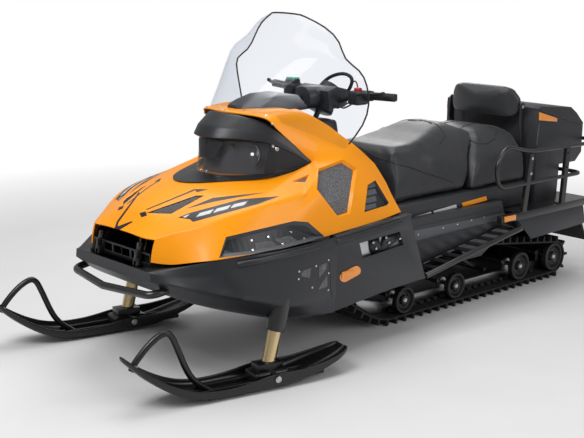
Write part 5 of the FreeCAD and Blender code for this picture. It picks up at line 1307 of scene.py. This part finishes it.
# Handlebar: grips, housings, levers, cables, pod, dial and strap
steering = {
    "gripEnd": (0.380, -0.150, 1.042), "gripWay": (-0.9785, -0.2066, -0.0054), "gripLength": 0.118, "ribs": 11,
    "housing": ((0.172, -0.228, 1.000), (0.238, -0.156, 1.060)),
    "lever": [(0.222, -0.214, 1.046), (0.240, -0.232, 1.050), (0.290, -0.228, 1.056), (0.345, -0.206, 1.060),
              (0.360, -0.204, 1.062)],
    "leverEnd": ((0.352, -0.212, 1.054), (0.368, -0.196, 1.070)),
    "collar": [(-0.008, 0.011), (-0.008, 0.018), (0.008, 0.018), (0.008, 0.011)], "collarAt": (0.248, -0.179, 1.041),
    "switch": ((0.196, -0.212, 1.058), (0.222, -0.184, 1.074)),
    "reservoir": ((-0.236, -0.218, 1.052), (-0.180, -0.170, 1.078)),
    "reservoirCap": ((-0.232, -0.214, 1.077), (-0.184, -0.174, 1.086)),
    "cables": [[(0.18, -0.212, 1.012), (0.155, -0.245, 0.990), (0.118, -0.236, 0.978), (0.085, -0.215, 0.992)],
               [(0.18, -0.190, 1.006), (0.145, -0.205, 0.982), (0.105, -0.190, 0.974), (0.07, -0.180, 0.995)]],
    "strap": [(318, 90), (321, 84.5), (328, 78), (336, 74.4), (343.5, 73.4), (349.5, 75.4), (352.4, 79.5),
              (351.2, 85.5), (347.6, 92)], "strapAt": -0.136, "strapRadius": 0.0078,
    "arc": [(351, 86), (353.2, 81.5), (355.6, 81), (357.4, 84.5), (358, 91)], "arcAt": -0.16,
    "podVoxel": 0.006, "podScrews": [(303.5, 102.5), (306.5, 106)],
    "dialFrom": (0, 0.5, 1.45), "dialTo": (0, -0.17, 1.045), "dialRadius": 0.040,
}


def onPlane(pixel, y):
    # the point at a pixel on the upright plane across the machine at y
    ray = sight(pixel)
    return eye + ray * ((y - eye.y) / ray.y)


ribbed = [(0, 0.0112), (0, 0.0165), (0.003, 0.0175)]
length = steering["gripLength"]
for rib in range(steering["ribs"]):
    at = 0.008 + (length - 0.020) * rib / steering["ribs"]
    ribbed += [(at, 0.0172), (at + 0.001, 0.0158), (at + 0.0035, 0.0158), (at + 0.0045, 0.0172)]
ribbed += [(length - 0.008, 0.0175), (length - 0.007, 0.0215), (length - 0.002, 0.0215), (length, 0.0190),
           (length, 0.0112)]
grip = lathed("grip", ribbed, (0, 0, 0), 32)
aim = Vector((1, 0, 0)).rotation_difference(Vector(steering["gripWay"])).to_matrix().to_4x4()
grip.data.transform(Matrix.Translation(Vector(steering["gripEnd"])) @ aim)
gripPlug = roundedBox("gripPlug", (-0.004, -0.015, -0.015), (0.004, 0.015, 0.015), 0.004)
gripPlug.data.transform(Matrix.Translation(Vector(steering["gripEnd"])) @ aim)
bothSides("handGrips", [grip, gripPlug], "handlebar", "gripRubber", ("hand_grips",))
housing = roundedBox("controlHousing", *steering["housing"], 0.012)
lever = tubeAlong("lever", cornersCut(steering["lever"], 2), 0.0055, sides=3)
leverEnd = roundedBox("leverEnd", *steering["leverEnd"], 0.006)
collar = lathed("collar", steering["collar"], steering["collarAt"], 24)
bothSides("controlHousings", [housing, collar, lever, leverEnd], "handlebar", "blackPlastic",
          ("hand_controls",))
reservoir = roundedBox("reservoir", *steering["reservoir"], 0.006)
cables = [tubeAlong("cable", cornersCut(line), 0.0035, sides=2) for line in steering["cables"]]
arc = tubeAlong("cableArc", cornersCut([onPlane(pixel, steering["arcAt"]) for pixel in steering["arc"]], 2), 0.003)
cables += [mirrorOf(cable, "cableFar") for cable in cables] + [arc, reservoir]
hand(join("cablesAndReservoir", cables), "handlebar", "gripRubber")
hand(roundedBox("stopSwitch", *steering["switch"], 0.005), "handlebar", "redPlastic")
hand(roundedBox("reservoirCap", *steering["reservoirCap"], 0.003), "handlebar", "greenPlastic")
strap = tubeAlong("grabStrap", cornersCut([onPlane(pixel, steering["strapAt"]) for pixel in steering["strap"]]),
                  steering["strapRadius"], sides=5)
hand(strap, "handlebar", "gripRubber", ("grab_strap",))
bar = dressed("handlebar", 0.0006, smooth=45)
hand(bar, "handlebar", "paintedTube", ("handlebar",))
pod = copyOf(nodes["gauge_pod"], "gaugePod")
addModifier(pod, "REMESH", mode="VOXEL", voxel_size=steering["podVoxel"], use_smooth_shade=True)
addModifier(pod, "SMOOTH", factor=0.5, iterations=14)
addModifier(pod, "SUBSURF", levels=1, render_levels=1)
settle(pod)
smoothOver(pod, 80)
start = Vector(steering["dialFrom"])
struck, place, normal, face = pod.ray_cast(start, (Vector(steering["dialTo"]) - start).normalized())
lift = Vector((1, 0, 0)).rotation_difference(normal).to_matrix().to_4x4()
radius = steering["dialRadius"]
bezel = lathed("dialBezel", [(-0.02, radius), (0.006, radius), (0.008, radius + 0.002), (0.007, radius + 0.005),
                             (0.0, radius + 0.006), (-0.02, radius + 0.006), (-0.02, radius)], (0, 0, 0), 40)
glassDisc = lathed("dialGlass", [(-0.01, 0.0), (-0.01, radius), (0.003, radius), (0.005, radius * 0.6), (0.006, 0.0)],
                   (0, 0, 0), 40)
for piece in (bezel, glassDisc):
    piece.data.transform(Matrix.Translation(place) @ lift)
hand(bezel, "handlebar", "charcoalPlastic")
hand(glassDisc, "handlebar", "dialGlass")
podScrews = screwsOn(pod, steering["podScrews"], 0.8)
hand(join("podScrews", podScrews), "handlebar", "screwMetal")
hand(pod, "handlebar", "blackPlastic", ("gauge_pod",))
bumper = dressed("front_bumper", 0.0006, smooth=45)
hand(bumper, "chassis", "paintedTube", ("front_bumper",))
print("handlebar made")

# Dash slots, pan seam and rack: channel posts, bolts, the lid's lip and the tail lamp
rear = {
    "posts": [(0.764, 0.806), (1.084, 1.106)], "wide": 0.034, "low": 0.4245, "high": 0.706,
    "outer": 0.010, "inner": -0.008, "sheet": 0.003, "outerCorner": 0.003, "innerCorner": 0.002,
    "footHigh": 0.4285, "footHalf": 0.026, "footIn": 0.03, "footOut": 0.010,
    "bolts": [(532.5, 158.5), (531, 173.5)], "holes": [(568.3, 153), (566.8, 167)], "bracketBolts": [(523, 107)],
    "tube": [(0, 1.245, 0.562), (1, 1.245, 0.562), (1, 0.566, 0.564), (1, 0.532, 0.668), (1, 0.606, 0.762),
             (1, 0.800, 0.716), (1, 1.424, 0.706), (0, 1.432, 0.706)], "bend": 0.055, "tubeRadius": 0.010,
    "lip": [(-0.2925, 1.006, 0.8895), (-0.2925, 1.3905, 0.7815), (0.2925, 1.3905, 0.7815), (0.2925, 1.006, 0.8895)],
    "lipRadius": 0.0042, "tail": ((-0.2, 1.38, 0.6), (0.2, 1.43, 0.75)), "lipLift": 0.004,
    "boxEdge": [(539.5, 124), (537.8, 134), (536.6, 146)],
}
slots = [patch("dashSlot", dressedPieces["dash_cover"], outline, 0.0008)
         for outline in ([(266, 97.6), (272, 95.4), (273.4, 96.2), (267.2, 98.6)],
                         [(273, 93.6), (279, 91.6), (280.4, 92.5), (274.2, 94.6)])]
hand(join("dashSlots", slots), "hood", "stripeDark")
rackEdge = max(vertex.co.x for vertex in nodes["rear_rack"].data.vertices) - 0.010


def channelPost(low, high):
    # an upright channel, open towards the machine, with its corners cut
    half = rear["wide"] / 2
    inner, outer, sheet = rackEdge + rear["inner"], rackEdge + rear["outer"], rear["sheet"]
    big, small = rear["outerCorner"], rear["innerCorner"]
    section = [(inner, -half), (outer - big, -half), (outer, -half + big), (outer, half - big),
               (outer - big, half), (inner, half), (inner, half - sheet), (outer - sheet - small, half - sheet),
               (outer - sheet, half - sheet - small), (outer - sheet, -half + sheet + small),
               (outer - sheet - small, -half + sheet), (inner, -half + sheet)]
    count = len(section)
    points = [(x, low + y, rear["low"]) for x, y in section] + [(x, high + y, rear["high"]) for x, y in section]
    faces = [tuple(range(count - 1, -1, -1)), tuple(range(count, 2 * count))]
    return smoothOver(fromPoints("rackPost", points, faces + sideFaces(count)), 35)


posts = [channelPost(low, high) for low, high in rear["posts"]]
feet = [roundedBox("postFoot", (rackEdge - rear["footIn"], low - rear["footHalf"], rear["low"]),
                   (rackEdge + rear["footOut"], low + rear["footHalf"], rear["footHigh"]), 0.0015)
        for low, high in rear["posts"]]
postBolts = screwsOn(posts[0], rear["bolts"], 1.3)
postBolts += screwsOn(dressedPieces["backrest_bracket"], rear["bracketBolts"], 1.5)
postHoles = screwsOn(posts[1], rear["holes"], 1.0)
tubes = [tubeAlong("rackTube", cornersRounded([(x * rackEdge, y, z) for x, y, z in rear["tube"]], rear["bend"]),
                   rear["tubeRadius"], sides=4)]
bothSides("rackPosts", posts + feet + tubes, "chassis", "paintedTube", ("rear_rack",))
hand(join("rackBolts", postBolts), "chassis", "screwMetal")
hand(join("rackPlugs", postHoles), "chassis", "gripRubber")
lip = tubeAlong("lidLip", cornersRounded(rear["lip"], 0.02), rear["lipRadius"], sides=3)
hand(lip, "trunk_lid", "paintedTube")
# a pale bead along the box's upright edge: a painted highlight
edges = seam("boxEdge", dressedPieces["trunk_box"], rear["boxEdge"], 0.0022)
hand(join("boxEdges", edges), "chassis", "tunnelPale")
tail = dressed("lamps", 0.003)
combine(tail, boxAt("tailRegion", *rear["tail"]), "INTERSECT")
combine(otherLamps, boxAt("tailRegion", *rear["tail"]), "DIFFERENCE")
hand(tail, "chassis", "redLens")
panSeam = seam("panSeam", panShell, pan["seam"], 0.0013)
hand(join("panSeams", panSeam), "chassis", "gripRubber")
hand(roundedBox("hoodLiner", liner["low"], liner["high"], liner["edge"]), "hood", "blackPlastic")
lips = seam("panLip", panShell, pan["lip"], pan["lipRadius"], lift=rear["lipLift"])
lips += seam("panelLip", panelSkin, side["lip"], pan["lipRadius"], lift=rear["lipLift"])
hand(join("panLips", lips), "chassis", "blackPlastic")

# Column cover: the fixed part stays under the pod's sweep, which comes down to z 0.934 at full lock
cowl = {"low": [(0.094, -0.348), (0.094, -0.186)], "high": [(0.082, -0.318), (0.082, -0.190)], "bottom": 0.855,
        "top": 0.924, "round": 0.018}
corners = [(x * sign, y, cowl[level]) for row, level in (("low", "bottom"), ("high", "top"))
           for sign, line in ((1, cowl[row]), (-1, cowl[row][::-1])) for x, y in line]
cowlPiece = fromPoints("steeringCowl", corners, [(3, 2, 1, 0), (4, 5, 6, 7), (0, 1, 5, 4), (1, 2, 6, 5), (2, 3, 7, 6),
                                                 (3, 0, 4, 7)])
addModifier(cowlPiece, "BEVEL", width=cowl["round"], segments=5, use_clamp_overlap=True)
settle(cowlPiece)
hand(smoothOver(cowlPiece, 60), "chassis", "blackPlastic")

# Boot between cover and pod, round about the steering axis so that it turns in its own place
boot = {"foot": (0, -0.2300, 0.958), "way": (0, 0.5, 0.8660),
        "profile": [(0, 0.016), (0, 0.056), (0.004, 0.062), (0.020, 0.062), (0.046, 0.058), (0.046, 0.016)]}
bootPiece = lathed("steeringBoot", boot["profile"], (0, 0, 0), 48)
bootAim = Vector((1, 0, 0)).rotation_difference(Vector(boot["way"])).to_matrix().to_4x4()
bootPiece.data.transform(Matrix.Translation(Vector(boot["foot"])) @ bootAim)
hand(bootPiece, "handlebar", "blackPlastic")
print("rear made")

# Stage: floor, world, lamps and camera
stage = {"floorHalf": 12.0, "floorColour": (0.74, 0.74, 0.75, 1), "skyLight": 0.36,
         "lampsAim": (0, -0.2, 0.5)}
bpy.ops.object.select_all(action="DESELECT")
bpy.ops.mesh.primitive_plane_add(size=stage["floorHalf"] * 2, location=(0, 0, 0))
floor = bpy.context.object
floor.name = "floor"
floorFinish = Finish("floorFinish", {"Roughness": 0.6})
distance = floorFinish.node("ShaderNodeVectorMath", {"operation": "LENGTH"}, {0: floorFinish.place()}, output=1)
fade = floorFinish.node("ShaderNodeMapRange", None, {"Value": distance, "From Min": 2.4, "From Max": 4.2})
floorFinish.feed("Base Color", floorFinish.mix(floorFinish.noise(3), stage["floorColour"], (0.8, 0.8, 0.81, 1)))
glow = floorFinish.node("ShaderNodeEmission", None, {"Color": (1, 1, 1, 1), "Strength": 1.0})
rays = floorFinish.node("ShaderNodeLightPath", output="Is Camera Ray")
whole = floorFinish.node("ShaderNodeMixShader", None, {
    0: fade * rays, 1: Signal(floorFinish, floorFinish.surface.outputs[0]), 2: glow})
floorFinish.tree.links.new(whole.socket, floorFinish.tree.nodes["Material Output"].inputs["Surface"])
floor.data.materials.append(floorFinish.material)

world = bpy.data.worlds.new("studio")
bpy.context.scene.world = world
world.use_nodes = True
worldNodes = world.node_tree.nodes
worldLinks = world.node_tree.links
background = worldNodes["Background"]
seen = worldNodes.new("ShaderNodeLightPath")
either = worldNodes.new("ShaderNodeMath")
either.operation = "MAXIMUM"
worldLinks.new(seen.outputs["Is Camera Ray"], either.inputs[0])
worldLinks.new(seen.outputs["Is Transmission Ray"], either.inputs[1])
strength = worldNodes.new("ShaderNodeMapRange")
strength.inputs["To Min"].default_value = stage["skyLight"]
worldLinks.new(either.outputs[0], strength.inputs["Value"])
worldLinks.new(strength.outputs[0], background.inputs["Strength"])
background.inputs["Color"].default_value = (1, 1, 1, 1)

lamps = {
    "key": {"place": (0.6, -3.6, 3.9), "size": 2.0, "watts": 105},
    "side": {"place": (4.2, 0.8, 2.4), "size": 2.0, "watts": 42},
    "top": {"place": (-0.6, 0.2, 4.2), "size": 3.0, "watts": 75},
    "rear": {"place": (-3.0, 3.2, 2.6), "size": 2.0, "watts": 45},
}
for lampName, form in lamps.items():
    bpy.ops.object.light_add(type="AREA", location=form["place"])
    light = bpy.context.object
    light.name = lampName
    light.data.size = form["size"]
    light.data.energy = form["watts"]
    aim = Vector(stage["lampsAim"]) - light.location
    light.rotation_euler = aim.to_track_quat("-Z", "Y").to_euler()

bpy.ops.object.camera_add(location=view["place"])
camera = bpy.context.object
camera.rotation_euler = turned.to_euler()
camera.data.lens = view["lens"]
camera.data.sensor_width = view["sensor"]
bpy.context.scene.camera = camera
bpy.context.scene.view_settings.view_transform = "Standard"
print("stage ready")

bpy.data.objects.remove(screwPattern)
